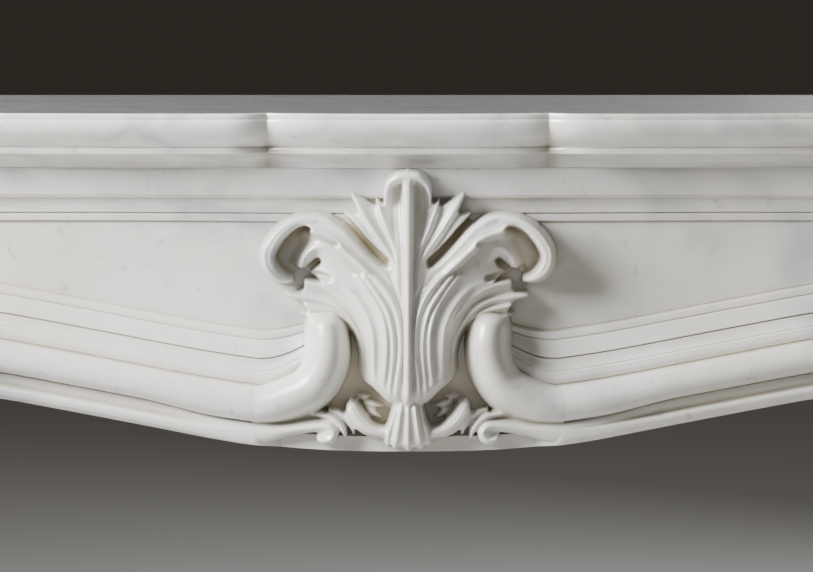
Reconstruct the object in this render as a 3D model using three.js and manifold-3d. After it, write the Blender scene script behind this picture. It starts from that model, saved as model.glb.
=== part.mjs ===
import * as THREE from 'three';
import { mergeVertices } from 'three/addons/utils/BufferGeometryUtils.js';
import Module from 'manifold-3d';

// A white marble chimneypiece with a serpentine shelf, a bowed frieze and a carved acanthus keystone.
// Millimetres, +Z up, front towards -Y. The origin is under the middle of the shelf, on the floor.

// Overall sizes
const totalHeight = 1100;
const shelfWidth = 1500;
const shelfDepth = 330; // wall to the front of the shelf at its middle
const surroundWidth = 1400;
const openingWidth = 1030;
const openingHeight = 807; // floor to the lowest point of the frieze
const panelToWall = 261; // wall to the sunk face of the jambs and the frieze's ends
const slabThickness = 56; // sunk face to the back of the jambs and frieze
const gap = 0.3; // between pieces that touch

// Shelf
const shelfThickness = 47;
const filletHeight = 4.9;
const ovoloHeight = 24.6;
const ovoloDepth = 19;
const beadHeight = 4.4;
const cavettoRadius = 12;
const bowHalfWidth = 120.7; // middle of the shelf to the cusp at either side
const bowRise = 14;
const shoulderRise = 11; // the side section comes this far forward of the cusp
const shoulderLength = 26;
const waistAt = 520;
const waistSetback = 30;
const earSetback = 15;
const shelfCornerRadius = 60;

// Frieze and its frame
const friezeBow = 14; // the middle of the frieze stands this far forward
const friezeBowReach = 300;
const edgeSlope = 0.193; // the steepest rise of the opening's edge
const openingCornerRadius = 70;
const outerBandWidth = 45.3;
const outerBandRaise = 12;
const mouldingWidth = 96;
const mouldingRaise = 38;
const keystoneRaise = 54; // the foremost ridge of the carving above the sunk face

// Feet and returns
const footHeight = 130;
const footProjection = 10;
const footChamfer = 10;
const returnThickness = 25;
const revealThickness = 22;

// Derived places
const wallY = shelfDepth / 2;
const panelY = wallY - panelToWall;
const slabBackY = panelY + slabThickness;
const shelfBottom = totalHeight - shelfThickness;
const friezeTop = shelfBottom - gap;
const friezeHeight = shelfBottom - openingHeight;
const jointX = openingWidth / 2 - openingCornerRadius;
const carvingScale = friezeHeight / 240;
const reliefScale = keystoneRaise / 58;

const wasm = await Module();
wasm.setup();

const marble = (name) => new THREE.MeshStandardMaterial({
  name, color: 0xe9e6e0, roughness: 0.42, metalness: 0,
});

// Joins a row of equal closed outlines, each a list of [a, b], into one closed body.
// place(a, b, i) gives the point in space for outline i.
function loft(outlines, place) {
  const count = outlines[0].length;
  const positions = outlines.flatMap((outline, i) => outline.flatMap(([a, b]) => place(a, b, i)));
  const index = [];
  for (let i = 0; i + 1 < outlines.length; i++) {
    for (let k = 0; k < count; k++) {
      const near = i * count + k;
      const next = i * count + ((k + 1) % count);
      index.push(near, next, next + count, near, next + count, near + count);
    }
  }
  const cap = (i, forward) => {
    const flat = outlines[i].map(([a, b]) => new THREE.Vector2(a, b));
    const turn = Math.sign(THREE.ShapeUtils.area(flat));
    for (const [p, q, r] of THREE.ShapeUtils.triangulateShape(flat, [])) {
      const same = Math.sign(THREE.ShapeUtils.area([flat[p], flat[q], flat[r]])) === turn;
      const face = same === forward ? [p, q, r] : [p, r, q];
      index.push(...face.map((k) => i * count + k));
    }
  };
  cap(0, false);
  cap(outlines.length - 1, true);
  const geometry = new THREE.BufferGeometry();
  geometry.setAttribute('position', new THREE.Float32BufferAttribute(positions, 3));
  geometry.setIndex(index);
  return facingOut(geometry);
}

// Turns every face over when the body's signed volume is negative.
function facingOut(geometry) {
  const p = geometry.attributes.position;
  const index = geometry.index.array;
  const corner = [0, 1, 2].map(() => new THREE.Vector3());
  let volume = 0;
  for (let i = 0; i < index.length; i += 3) {
    corner.forEach((c, k) => c.fromBufferAttribute(p, index[i + k]));
    volume += corner[0].dot(corner[1].clone().cross(corner[2]));
  }
  if (volume < 0) {
    for (let i = 0; i < index.length; i += 3) [index[i + 1], index[i + 2]] = [index[i + 2], index[i + 1]];
  }
  return geometry;
}

function toSolid(geometry) {
  const bare = new THREE.BufferGeometry();
  bare.setAttribute('position', geometry.attributes.position.clone());
  bare.setIndex([...geometry.index.array]);
  const merged = mergeVertices(bare, 1e-4);
  return new wasm.Manifold(new wasm.Mesh({
    numProp: 3,
    vertProperties: new Float32Array(merged.attributes.position.array),
    triVerts: new Uint32Array(merged.index.array),
  }));
}

// Joins closed bodies into one and fills any small hollow sealed in between them.
function joined(geometries) {
  const whole = geometries.map(toSolid).reduce((a, b) => a.add(b));
  const filled = whole.decompose().filter((shell) => shell.volume() > 0).reduce((a, b) => a.add(b));
  const mesh = filled.getMesh();
  const geometry = new THREE.BufferGeometry();
  geometry.setAttribute('position', new THREE.Float32BufferAttribute(mesh.vertProperties, 3));
  geometry.setIndex([...mesh.triVerts]);
  return geometry;
}

function makePiece(name, geometry) {
  geometry.computeVertexNormals();
  const mesh = new THREE.Mesh(geometry, marble(name));
  mesh.name = name;
  return mesh;
}

// Mirrors a geometry in x and keeps its faces pointing out.
function mirrored(geometry) {
  const copy = geometry.clone();
  copy.applyMatrix4(new THREE.Matrix4().makeScale(-1, 1, 1));
  return facingOut(copy);
}

const steps = (count) => Array.from({ length: count + 1 }, (_, i) => i / count);
const ease = (t) => t * t * (3 - 2 * t);
const clamp01 = (t) => Math.min(1, Math.max(0, t));
const arc = (count, from, to) => steps(count).map((t) => from + (to - from) * t);

// Value at share t of a short list of values spread evenly from 0 to 1.
function along(values, t) {
  const at = t * (values.length - 1);
  const i = Math.min(values.length - 2, Math.floor(at));
  return values[i] + (values[i + 1] - values[i]) * (at - i);
}

// Shelf

// How far the shelf's front edge lies behind its foremost point, at x from the middle.
function shelfSetback(x) {
  if (x <= bowHalfWidth) return bowRise * (x / bowHalfWidth) ** 2;
  const shoulder = bowRise - shoulderRise;
  const past = x - bowHalfWidth;
  if (past < shoulderLength) return bowRise - shoulderRise * Math.sin((Math.PI / 2) * (past / shoulderLength));
  const earAt = shelfWidth / 2 - shelfCornerRadius;
  const start = bowHalfWidth + shoulderLength;
  if (x < waistAt) return shoulder + (waistSetback - shoulder) * ease(((x - start) / (waistAt - start)) ** 1.6);
  return waistSetback + (earSetback - waistSetback) * ease((x - waistAt) / (earAt - waistAt));
}

// Right half of the shelf's outline, from the middle of the front to the wall.
function shelfHalfOutline() {
  const frontY = -shelfDepth / 2;
  const earAt = shelfWidth / 2 - shelfCornerRadius;
  const bow = steps(4).map((t) => t * bowHalfWidth);
  const shoulder = steps(3).slice(1).map((t) => bowHalfWidth + t * shoulderLength);
  const side = steps(9).slice(1).map((t) => bowHalfWidth + shoulderLength + t * (earAt - bowHalfWidth - shoulderLength));
  const front = [...bow, ...shoulder, ...side].map((x) => [x, frontY + shelfSetback(x)]);
  const corner = arc(4, 0, Math.PI / 2).slice(1).map((a) => [
    earAt + shelfCornerRadius * Math.sin(a),
    frontY + earSetback + shelfCornerRadius * (1 - Math.cos(a)),
  ]);
  return [...front, ...corner, [shelfWidth / 2, wallY]];
}

// The shelf's edge from the top down, as [depth below the top, distance set back].
function shelfEdge() {
  const ovoloTop = filletHeight + 0.6;
  const ovolo = arc(6, -0.35, 0.5 * Math.PI).map((a) => [
    ovoloTop + (ovoloHeight * (Math.sin(a) + 0.343)) / 1.343,
    ovoloDepth * (1 - Math.cos(a)),
  ]);
  const beadTop = ovoloTop + ovoloHeight;
  const beadBottom = beadTop + beadHeight;
  const cavettoTop = shelfThickness - cavettoRadius;
  const cavetto = arc(4, 0, Math.PI / 2).map((a) => [
    cavettoTop + cavettoRadius * (1 - Math.cos(a)),
    ovoloDepth + 3 + cavettoRadius * Math.sin(a),
  ]);
  return [
    [0, 1.5], [filletHeight, 1.5],
    ...ovolo,
    [beadTop + 0.2, ovoloDepth - 2], [beadBottom, ovoloDepth - 1],
    ...cavetto,
  ];
}

function makeShelf() {
  const right = shelfHalfOutline();
  const left = right.slice(1).reverse().map(([x, y]) => [-x, y]);
  const path = [...left, ...right];
  const last = path.length - 1;
  // Each point moves inwards along the bisector of its two edges, and along the wall at the ends.
  const inward = path.map(([x, y], i) => {
    if (i === 0 || i === last) return [i === 0 ? 1 : -1, 0];
    const before = new THREE.Vector2(x - path[i - 1][0], y - path[i - 1][1]).normalize();
    const after = new THREE.Vector2(path[i + 1][0] - x, path[i + 1][1] - y).normalize();
    const normal = new THREE.Vector2(-before.y - after.y, before.x + after.x).normalize();
    const stretch = 1 / (-before.y * normal.x + before.x * normal.y);
    return [normal.x * stretch, normal.y * stretch];
  });
  const edge = shelfEdge();
  const outlines = edge.map(([, inset]) => path.map(([x, y], i) => [x + inward[i][0] * inset, y + inward[i][1] * inset]));
  return loft(outlines, (x, y, i) => [x, y, totalHeight - edge[i][0]]);
}

// Frieze

// Rise of the opening's edge above its lowest point: its slope eases in, holds, and eases out at the joint.
function edgeRise(u) {
  const easeIn = 0.517 * jointX;
  const easeOut = 0.72 * jointX;
  const area = (t) => t ** 3 - t ** 4 / 2;
  const start = easeIn * area(clamp01(u / easeIn));
  const middle = Math.max(0, Math.min(u, easeOut) - easeIn);
  const past = Math.max(0, u - easeOut);
  const end = past - (jointX - easeOut) * area(clamp01(past / (jointX - easeOut)));
  return edgeSlope * (start + middle + end);
}

// How far the sunk face stands forward of the jambs' face.
const bowAt = (u) => friezeBow * Math.cos((Math.PI / 2) * clamp01(u / friezeBowReach)) ** 2;

// The outer frame, as [distance from its outer edge, raise above the sunk face].
const outerBand = [
  [0, 1], [0.508, 1], [0.515, 0.86], [0.57, 0.62], [0.68, 0.42], [0.822, 0.34],
  [0.828, 0.21], [0.993, 0.21], [1, 0],
].map(([d, raise]) => [d * outerBandWidth, raise * outerBandRaise]);

// The opening's moulding, as [distance from the opening's edge, raise above the sunk face].
const mouldingProfile = [
  [0, 0.6], [0.02, 0.72], [0.062, 0.79], [0.109, 0.74], [0.13, 0.6], [0.136, 0.54], [0.182, 0.48],
  [0.229, 0.57], [0.25, 0.74], [0.292, 0.91], [0.365, 1], [0.427, 0.96], [0.479, 0.82], [0.515, 0.62],
  [0.521, 0.54], [0.599, 0.52], [0.604, 0.47], [0.656, 0.38], [0.75, 0.34],
  [0.756, 0.29], [0.906, 0.14], [0.912, 0.085], [0.995, 0.074], [1, 0],
].map(([d, raise]) => [d * mouldingWidth, raise * mouldingRaise]);

const rollCentre = 0.378 * mouldingWidth;
const rollHalfWidth = 0.145 * mouldingWidth;

function makeFriezeBody() {
  const places = [0, 0.05, 0.1, 0.135, 0.17, 0.225, 0.3, 0.39, 0.48, 0.58, 0.68, 0.77, 0.85, 0.92, 1];
  const reach = jointX - gap / 2;
  const xs = [...places.slice(1).reverse().map((s) => -s * reach), ...places.map((s) => s * reach)];
  // Behind the carving the moulding gives way to a shallow recess.
  const outlines = xs.map((x) => {
    const u = Math.abs(x);
    const full = ease(clamp01((u / carvingScale - 44) / 32));
    const low = openingHeight + edgeRise(u);
    const front = panelY - bowAt(u);
    const lower = mouldingProfile.map(([d, raise]) => {
      const recess = 8 * clamp01((mouldingWidth - d) / 6);
      return [front - (raise * full + recess * (1 - full)), low + d];
    });
    const upper = outerBand.map(([d, raise]) => [front - raise, friezeTop - d]);
    return [[slabBackY, low], ...lower, ...upper.reverse(), [slabBackY, friezeTop]];
  });
  return loft(outlines, (y, z, i) => [xs[i], y, z]);
}

// Carving

// A carved band along a line of [u, v], u out from the middle and v up from the frieze's lowest
// point, both in units of a frieze 240 high. widths and crests run along the band, and crests are
// in units of a keystone 58 deep.
// across(k) is the share of the crest's height at k from -1 to 1 across it.
function carvedBand({ line, widths, crests, across, points = 5, count = 8, side = 1 }) {
  const curve = new THREE.CatmullRomCurve3(line.map(([u, v]) => new THREE.Vector3(u, v, 0)), false, 'centripetal');
  const frames = steps(count).map((t) => {
    const at = curve.getPointAt(t);
    const run = curve.getTangentAt(t);
    return { at, sideways: [-run.y, run.x], width: along(widths, t), crest: along(crests, t) };
  });
  const ks = steps(points - 1).map((t) => 2 * t - 1);
  const outlines = frames.map(({ width, crest }) => [
    [-width, -4], ...ks.map((k) => [k * width, crest * across(k)]), [width, -4],
  ]);
  return loft(outlines, (a, raise, i) => {
    const { at, sideways } = frames[i];
    const u = (at.x + sideways[0] * a) * carvingScale;
    const v = (at.y + sideways[1] * a) * carvingScale;
    return [side * u, panelY - bowAt(Math.abs(u)) - raise * reliefScale, openingHeight + v];
  });
}

const domed = (k) => 0.62 + 0.38 * Math.sqrt(Math.max(0, 1 - k * k));
const tubular = (k) => 0.5 + 0.5 * Math.sqrt(Math.max(0, 1 - k * k));
const ridged = (k) => 1 - 0.16 * Math.abs(k);
const ribbedFan = (k) => 0.92 + 0.08 * Math.cos(6 * Math.PI * k) - 0.3 * k * k;

// A fan of ridges with a valley between each two. Each ridge has a line and its crests along it.
// Valleys stop at the share reach of the ridges' length, which leaves notches between the tips.
function carvedFan({ ridges, drop, reach, count }) {
  const half = ridges.map(({ line, crests }) => ({
    curve: new THREE.CatmullRomCurve3(line.map(([u, v]) => new THREE.Vector3(u, v, 0)), false, 'centripetal'),
    crests,
  }));
  const at = ({ curve, crests }, t, side) => {
    const { x, y } = curve.getPointAt(t);
    return [side * x, y, along(crests, t)];
  };
  const rows = steps(count).map((t) => {
    const across = (side) => half.flatMap((ridge, i) => {
      if (i === 0) return [];
      const [a, b] = [at(half[i - 1], t * reach, side), at(ridge, t * reach, side)];
      const valley = [0, 1, 2].map((k) => (a[k] + b[k]) / 2);
      valley[2] -= drop * Math.sin(Math.PI * (0.12 + 0.8 * t));
      return [valley, at(ridge, t, side)];
    });
    return [...across(-1).reverse(), at(half[0], t, 1), ...across(1)];
  });
  const back = rows[0].length;
  const outlines = rows.map((row) => [
    ...row.map(([, , raise], k) => [k, raise]),
    ...row.map((_, k) => [back - 1 - k, -4]),
  ]);
  return loft(outlines, (k, raise, i) => {
    const [u, v] = rows[i][k].map((value) => value * carvingScale);
    return [u, panelY - bowAt(Math.abs(u)) - raise * reliefScale, openingHeight + v];
  });
}

// Swollen leaf body: its ridges rise from the foot, close in, then spread into pointed lobes.
const bodyFan = {
  drop: 5, reach: 0.95, count: 11,
  ridges: [
    { line: [[0, 37], [0, 90], [0, 168]], crests: [43, 51, 54, 53, 47, 40, 34] },
    { line: [[8.8, 38], [7.2, 59], [5.7, 81], [6.5, 104], [11, 121], [19.4, 147]], crests: [42, 50, 52, 50, 43, 35] },
    { line: [[18, 41], [13.6, 66], [12, 87], [13.3, 108], [19.4, 126], [30, 152]], crests: [41, 49, 51, 48, 41, 34] },
    { line: [[27, 48], [20, 72], [19, 90], [23.5, 115], [30, 134], [41, 155]], crests: [40, 47, 49, 46, 39, 34] },
    { line: [[34, 54], [29.5, 76], [30, 94], [37, 115], [52, 137], [76, 149]], crests: [38, 44, 45, 40, 32, 25] },
    { line: [[40, 60], [36, 80], [38, 100], [50, 119], [68, 133], [92, 147]], crests: [34, 40, 41, 36, 29, 23] },
    { line: [[41, 66], [39, 86], [44, 104], [56, 118], [75, 130.5], [103, 132]], crests: [30, 35, 35, 32, 27, 22] },
    { line: [[41, 72], [41, 89], [47, 102], [58, 111], [74, 116], [92, 117]], crests: [24, 28, 30, 30, 28, 24] },
  ],
};

// Upper tips on both sides of the midrib
const tipFan = {
  drop: 4.5, reach: 0.8, count: 6,
  ridges: [
    { line: [[0, 140], [0, 190], [0, 224]], crests: [41, 36, 34, 35] },
    { line: [[6, 142], [6, 185], [12, 220]], crests: [38, 32, 29, 31] },
    { line: [[11, 146], [15, 180], [28, 211.5]], crests: [34, 30, 28, 26] },
    { line: [[15, 150], [23, 180], [47, 217]], crests: [32, 29, 27, 23] },
    { line: [[18, 153], [29, 176], [52, 199]], crests: [30, 26, 24, 20] },
  ],
};

// Bands on the middle line
const middleBands = [
  // midrib
  { line: [[0, 38], [0, 130], [0, 224]], widths: [4.5, 3.8, 3.4, 3.8], crests: [47, 55, 58, 56, 50, 43, 38, 37, 37],
    across: ridged, points: 3, count: 9 },
  // hood arched over the tips' middle flutes
  { line: [[-15, 200], [-18, 214], [-13, 226], [0, 231], [13, 226], [18, 214], [15, 200]],
    widths: [2, 5, 6.5, 7, 6.5, 5, 2], crests: [27, 33, 36, 38, 36, 33, 27], across: domed, points: 5, count: 12 },
  // shell at the bottom
  { line: [[0, -2.5], [0, 10], [0, 41]], widths: [6, 20, 20, 17, 15, 14, 13.5], crests: [28, 36, 41, 43, 44, 45, 42],
    across: ribbedFan, points: 13, count: 6 },
];

// Bands that both sides have
const sideBands = [
  // side leaf: folded band with its curl
  { line: [[20, 148], [36, 163], [52, 178], [66, 189], [84, 193], [102, 190], [115, 180], [120, 165], [114, 152], [100, 146]],
    widths: [7, 9, 10, 9.5, 8.5, 8, 8, 8, 7.5, 3.5], crests: [34, 35, 34, 32, 31, 32, 34, 35, 33, 26],
    across: domed, points: 6, count: 14 },
  // hollow inside the curl
  { line: [[62, 172], [84, 178], [108, 166]], widths: [7, 12, 6], crests: [14, 10, 8], across: ridged,
    points: 3, count: 3 },
  // blade below the fold, ending at the eye
  { line: [[28, 143], [44, 153], [60, 162], [74, 167], [88, 161]], widths: [7, 11, 13, 12, 4],
    crests: [34, 31, 24, 18, 15], across: ridged, points: 3, count: 7 },
  // pointed teeth along the fold's lower edge
  ...[[36, 149], [58, 172], [82, 186]].map(([u, v]) => ({
    line: [[u - 8, v + 10], [u, v]], widths: [6, 1.5], crests: [34, 36], across: ridged, points: 3, count: 2,
  })),
  // scroll and its outer ridges
  { line: [[60, 12.5], [71.5, 12.5], [83, 12.5]], widths: [5, 10.5, 11.5, 10.5, 5], crests: [27, 32, 33, 32, 27],
    across: domed, points: 5, count: 4 },
  { line: [[69, 30], [59, 25], [52, 17], [51, 7]], widths: [3, 4.5, 4.5, 3], crests: [31, 31, 29, 26],
    across: ridged, points: 3, count: 5 },
  // leaflets beside the shell
  { line: [[14, 8], [30, 13], [43, 24], [50, 42]], widths: [5, 7, 7, 1.5], crests: [28, 32, 33, 28],
    across: ridged, points: 3, count: 6 },
  { line: [[16, 18], [27, 26], [38, 37]], widths: [5, 6, 1.5], crests: [26, 28, 24], across: ridged,
    points: 3, count: 4 },
];

// The roll leaves the moulding, turns up beside the leaf body and ends in a round knob.
function makeKnob(side) {
  const startU = 150;
  const startV = (edgeRise(startU * carvingScale) + rollCentre) / carvingScale;
  return carvedBand({
    line: [[startU, startV], [130, 44.5], [100, 43], [80, 48], [68, 61], [66, 80], [70, 97], [75, 113]],
    widths: [rollHalfWidth / carvingScale, 15, 16.5, 17.5, 17.5, 17.5, 17.5, 16.5, 6],
    crests: [mouldingRaise / reliefScale, 41.5, 43, 45, 46.5, 47, 47, 45.5, 36],
    across: tubular, points: 7, count: 14, side,
  });
}

function makeFrieze() {
  const parts = [makeFriezeBody(), carvedFan(bodyFan), carvedFan(tipFan), ...middleBands.map(carvedBand)];
  for (const side of [-1, 1]) {
    parts.push(...sideBands.map((band) => carvedBand({ ...band, side })), makeKnob(side));
  }
  return joined(parts);
}

// Jambs

// Carries a profile of [distance in from the path, raise] along a path of { x, z, nx, nz } down to the slab's back.
function framedStrip(path, profile) {
  const width = profile[profile.length - 1][0];
  const outline = [[0, -slabThickness], ...profile, [width, -slabThickness]];
  return loft(path.map(() => outline), (d, raise, i) => {
    const { x, z, nx, nz } = path[i];
    return [x + nx * d, panelY - raise, z + nz * d];
  });
}

function makeJamb() {
  const edgeX = openingWidth / 2;
  const peak = openingHeight + edgeRise(jointX);
  const bottom = footHeight + gap;
  const side = surroundWidth / 2;
  const startX = jointX + gap / 2;
  // The opening's edge: a quarter round from the frieze's joint, then straight down.
  const turn = arc(6, 0, Math.PI / 2).map((a) => ({
    x: jointX + openingCornerRadius * Math.sin(a), z: peak - openingCornerRadius * (1 - Math.cos(a)),
    nx: Math.sin(a), nz: Math.cos(a),
  }));
  const edge = [...turn, { x: edgeX, z: bottom, nx: 1, nz: 0 }];
  edge[0].x = startX;
  const moulding = framedStrip(edge, mouldingProfile);
  const band = framedStrip([
    { x: startX, z: friezeTop, nx: 0, nz: -1 },
    { x: side, z: friezeTop, nx: -1, nz: -1 },
    { x: side, z: bottom, nx: -1, nz: 0 },
  ], outerBand);
  // The sunk face behind both, reaching under each by a part of its width.
  const under = 0.5;
  const inner = edge.map(({ x, z, nx, nz }) => [x + nx * mouldingWidth * under, z + nz * mouldingWidth * under]);
  const outerX = side - outerBandWidth * under;
  const outerZ = friezeTop - outerBandWidth * under;
  const core = [...inner, [outerX, bottom], [outerX, outerZ], [startX, outerZ]];
  const slab = loft([core, core], (x, z, i) => [x, i === 0 ? panelY : slabBackY, z]);
  return joined([moulding, band, slab]);
}

// Feet, outer returns and the reveals inside the opening

function makeBlock(x0, x1, y0, y1, z0, z1) {
  return new THREE.BoxGeometry(x1 - x0, y1 - y0, z1 - z0).translate((x0 + x1) / 2, (y0 + y1) / 2, (z0 + z1) / 2);
}

function makeFoot() {
  const x0 = openingWidth / 2 - footProjection;
  const x1 = surroundWidth / 2 + footProjection;
  const y0 = panelY - mouldingRaise - footProjection;
  // [height, distance set in], a plain face with a hollowed weathering on top
  const levels = [
    [0, 0], [footHeight - 2.4 * footChamfer, 0], [footHeight - 2.4 * footChamfer, 0.2 * footChamfer],
    ...arc(3, 0, Math.PI / 2).map((a) => [
      footHeight - 2 * footChamfer * (1 - Math.sin(a)) - 0.2 * footChamfer,
      0.2 * footChamfer + 0.7 * footChamfer * (1 - Math.cos(a)),
    ]),
    [footHeight, footChamfer],
  ];
  const outlines = levels.map(([, inset]) => [
    [x0 + inset, y0 + inset], [x1 - inset, y0 + inset], [x1 - inset, wallY], [x0 + inset, wallY],
  ]);
  return loft(outlines, (x, y, i) => [x, y, levels[i][0]]);
}

const uprightBottom = footHeight + gap;
const makeReturn = () => makeBlock(
  surroundWidth / 2 - returnThickness, surroundWidth / 2, slabBackY + gap, wallY, uprightBottom, friezeTop,
);
const makeReveal = () => makeBlock(
  openingWidth / 2, openingWidth / 2 + revealThickness, slabBackY + gap, wallY, uprightBottom, friezeTop,
);

const mantel = new THREE.Group();
mantel.add(makePiece('shelf', makeShelf()), makePiece('frieze', makeFrieze()));

const uprights = { jamb: makeJamb(), foot: makeFoot(), return: makeReturn(), reveal: makeReveal() };
for (const [name, geometry] of Object.entries(uprights)) {
  mantel.add(makePiece(`${name}_right`, geometry), makePiece(`${name}_left`, mirrored(geometry)));
}

export default mantel;
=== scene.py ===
import math

import bmesh
import bpy
import numpy as np
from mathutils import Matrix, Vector


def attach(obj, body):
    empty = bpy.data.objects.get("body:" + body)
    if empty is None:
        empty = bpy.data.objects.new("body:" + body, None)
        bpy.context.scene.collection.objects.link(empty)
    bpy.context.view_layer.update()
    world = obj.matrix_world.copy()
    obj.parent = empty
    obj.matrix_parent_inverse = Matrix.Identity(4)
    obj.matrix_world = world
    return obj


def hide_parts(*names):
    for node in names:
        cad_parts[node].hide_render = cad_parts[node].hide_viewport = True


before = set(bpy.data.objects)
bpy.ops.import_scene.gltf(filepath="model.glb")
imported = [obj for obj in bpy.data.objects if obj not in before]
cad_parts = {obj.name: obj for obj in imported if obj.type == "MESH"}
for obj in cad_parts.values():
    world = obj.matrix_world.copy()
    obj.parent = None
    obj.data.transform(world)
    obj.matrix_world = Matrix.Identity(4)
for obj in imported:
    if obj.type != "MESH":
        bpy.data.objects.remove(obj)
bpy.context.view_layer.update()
print("frame loaded")

# Marble chimneypiece. All lengths here are millimetres, +Z up, front towards -Y.
mantel = {
    "height": 1100.0,
    "shelfWidth": 1500.0,
    "shelfDepth": 330.0,
    "surroundWidth": 1400.0,
    "openingWidth": 1030.0,
    "openingHeight": 804.2,      # floor to the lowest point of the frieze
    "panelToWall": 261.0,        # wall to the sunk face
    "slabThickness": 56.0,
    "shelfThickness": 49.0,
    "gap": 0.3,
}
wallY = mantel["shelfDepth"] / 2
frontY = -wallY                  # the shelf's foremost line
panelY = wallY - mantel["panelToWall"]
slabBackY = panelY + mantel["slabThickness"]
friezeTop = mantel["height"] - mantel["shelfThickness"] - mantel["gap"]
sideNames = {-1: "Left", 1: "Right"}

view = {
    "height": 1263.0,            # lens above the floor
    "distance": 3000.0,          # in front of the shelf
    "sideways": -1.3,
    "lookDown": 5.9,             # degrees
    "focal": 3529.0,             # in pixels
    "width": 813,                # pixels
    "middleRow": 286,
}


# Helpers for arrays and meshes

def ease(t):
    # 3 t squared less 2 t cubed, from 0 to 1
    t = np.clip(t, 0.0, 1.0)
    return t * t * (3 - 2 * t)


def sharesAlong(points, count):
    # each point's share of the line's length, and count even shares
    gaps = np.linalg.norm(np.diff(points[:, :2], axis=0), axis=1) + 1e-6
    return np.concatenate([[0.0], np.cumsum(gaps)]) / gaps.sum(), np.linspace(0, 1, count)


def cubic(p, slope, i, s, h=1.0):
    # the cubic from p[i] to p[i + 1] with the given slope at each, at share s of the step h
    return ((2 * s**3 - 3 * s**2 + 1) * p[i] + (s**3 - 2 * s**2 + s) * h * slope[i]
            + (3 * s**2 - 2 * s**3) * p[i + 1] + (s**3 - s**2) * h * slope[i + 1])


def curveThrough(points, count):
    # smooth curve of cubics through the points, evenly spread along its length
    p = np.asarray(points, float)
    knots, t = sharesAlong(p, count)
    i = np.clip(np.searchsorted(knots, t, side="right") - 1, 0, len(p) - 2)
    h = (knots[i + 1] - knots[i])[:, None]
    return cubic(p, np.gradient(p, knots, axis=0), i, (t - knots[i])[:, None] / h, h)


def straightThrough(points, count):
    # straight runs between the points, evenly spread along their length
    p = np.asarray(points, float)
    knots, t = sharesAlong(p, count)
    return np.stack([np.interp(t, knots, p[:, k]) for k in range(p.shape[1])], axis=1)


def softened(profile, radius):
    # each inner corner of a profile is cut back by radius and bent as a quadratic curve
    p = np.asarray(profile, float)
    out = [p[0]]
    for before, corner, after in zip(p[:-2], p[1:-1], p[2:]):
        a, b = before - corner, after - corner
        la, lb = np.linalg.norm(a), np.linalg.norm(b)
        a, b = a / la * min(radius, la * 0.45), b / lb * min(radius, lb * 0.45)
        turn = abs(a[0] * b[1] - a[1] * b[0]) / (np.linalg.norm(a) * np.linalg.norm(b) + 1e-9)
        if turn < 0.2:
            out.append(corner)
            continue
        for s in (0.0, 0.33, 0.67, 1.0):
            out.append(corner + a * (1 - s)**2 + b * s**2)
    out.append(p[-1])
    return np.array(out)


def shadeSmooth(mesh):
    mesh.polygons.foreach_set("use_smooth", np.ones(len(mesh.polygons), bool))


def meshFrom(name, points, quads, ngons=()):
    # points in millimetres become a mesh in metres
    mesh = bpy.data.meshes.new(name)
    quads = np.asarray(quads, np.int64).reshape(-1, 4)
    loops = np.concatenate([quads.ravel(), *ngons]).astype(np.int64)
    sizes = np.concatenate([np.full(len(quads), 4), [len(n) for n in ngons]]).astype(np.int64)
    mesh.vertices.add(len(points))
    mesh.vertices.foreach_set("co", (np.asarray(points, float) * 0.001).ravel())
    mesh.loops.add(len(loops))
    mesh.loops.foreach_set("vertex_index", loops)
    mesh.polygons.add(len(sizes))
    mesh.polygons.foreach_set("loop_start", np.concatenate([[0], np.cumsum(sizes)[:-1]]))
    mesh.update(calc_edges=True)
    mesh.validate()
    shadeSmooth(mesh)
    mesh.set_sharp_from_angle(angle=math.radians(38))
    piece = bpy.data.objects.new(name, mesh)
    bpy.context.scene.collection.objects.link(piece)
    return piece


def gridQuads(height, width, around=False):
    # the corner numbers of each square of a grid, whose last column may join its first
    i, k = np.meshgrid(np.arange(height - 1), np.arange(width if around else width - 1), indexing="ij")
    near, nextK = i * width + k, i * width + (k + 1) % width
    return np.stack([near, nextK, nextK + width, near + width], axis=-1).reshape(-1, 4)


def tripleSum(a, b, c):
    # sum of the dot products of a with the cross products of b and c
    return np.einsum("ij,ij->", a, np.cross(b, c))


def loftArrays(rings):
    # rings is outlines x points x 3: walls between the outlines, and a flat cap on each end,
    # all turned round where the volume that they enclose comes out below zero
    m, n = rings.shape[:2]
    points, quads = rings.reshape(-1, 3), gridQuads(m, n, around=True)
    caps = [np.arange(n)[::-1], (m - 1) * n + np.arange(n)]
    a, b, c, d = (points[quads[:, j]] for j in range(4))
    volume = tripleSum(a, b, c) + tripleSum(a, c, d)
    for cap in caps:
        p = points[cap]
        volume += tripleSum(np.broadcast_to(p[0], p[1:-1].shape), p[1:-1], p[2:])
    if volume < 0:
        quads, caps = quads[:, ::-1], [cap[::-1] for cap in caps]
    return points, quads, caps


def loftPiece(name, *lofts):
    # one object from one or more closed lofts
    allPoints, allQuads, allCaps, at = [], [], [], 0
    for rings in lofts:
        points, quads, caps = loftArrays(np.asarray(rings, float))
        allPoints.append(points)
        allQuads.append(quads + at)
        allCaps += [cap + at for cap in caps]
        at += len(points)
    return meshFrom(name, np.concatenate(allPoints), np.concatenate(allQuads), allCaps)


def setPaintedShade(piece, amounts):
    # how much painted shade lies at each vertex, from 0 to 1
    paintedShade = piece.data.attributes.new("hollow", "FLOAT", "POINT")
    paintedShade.data.foreach_set("value", np.asarray(amounts, float).ravel())


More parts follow.
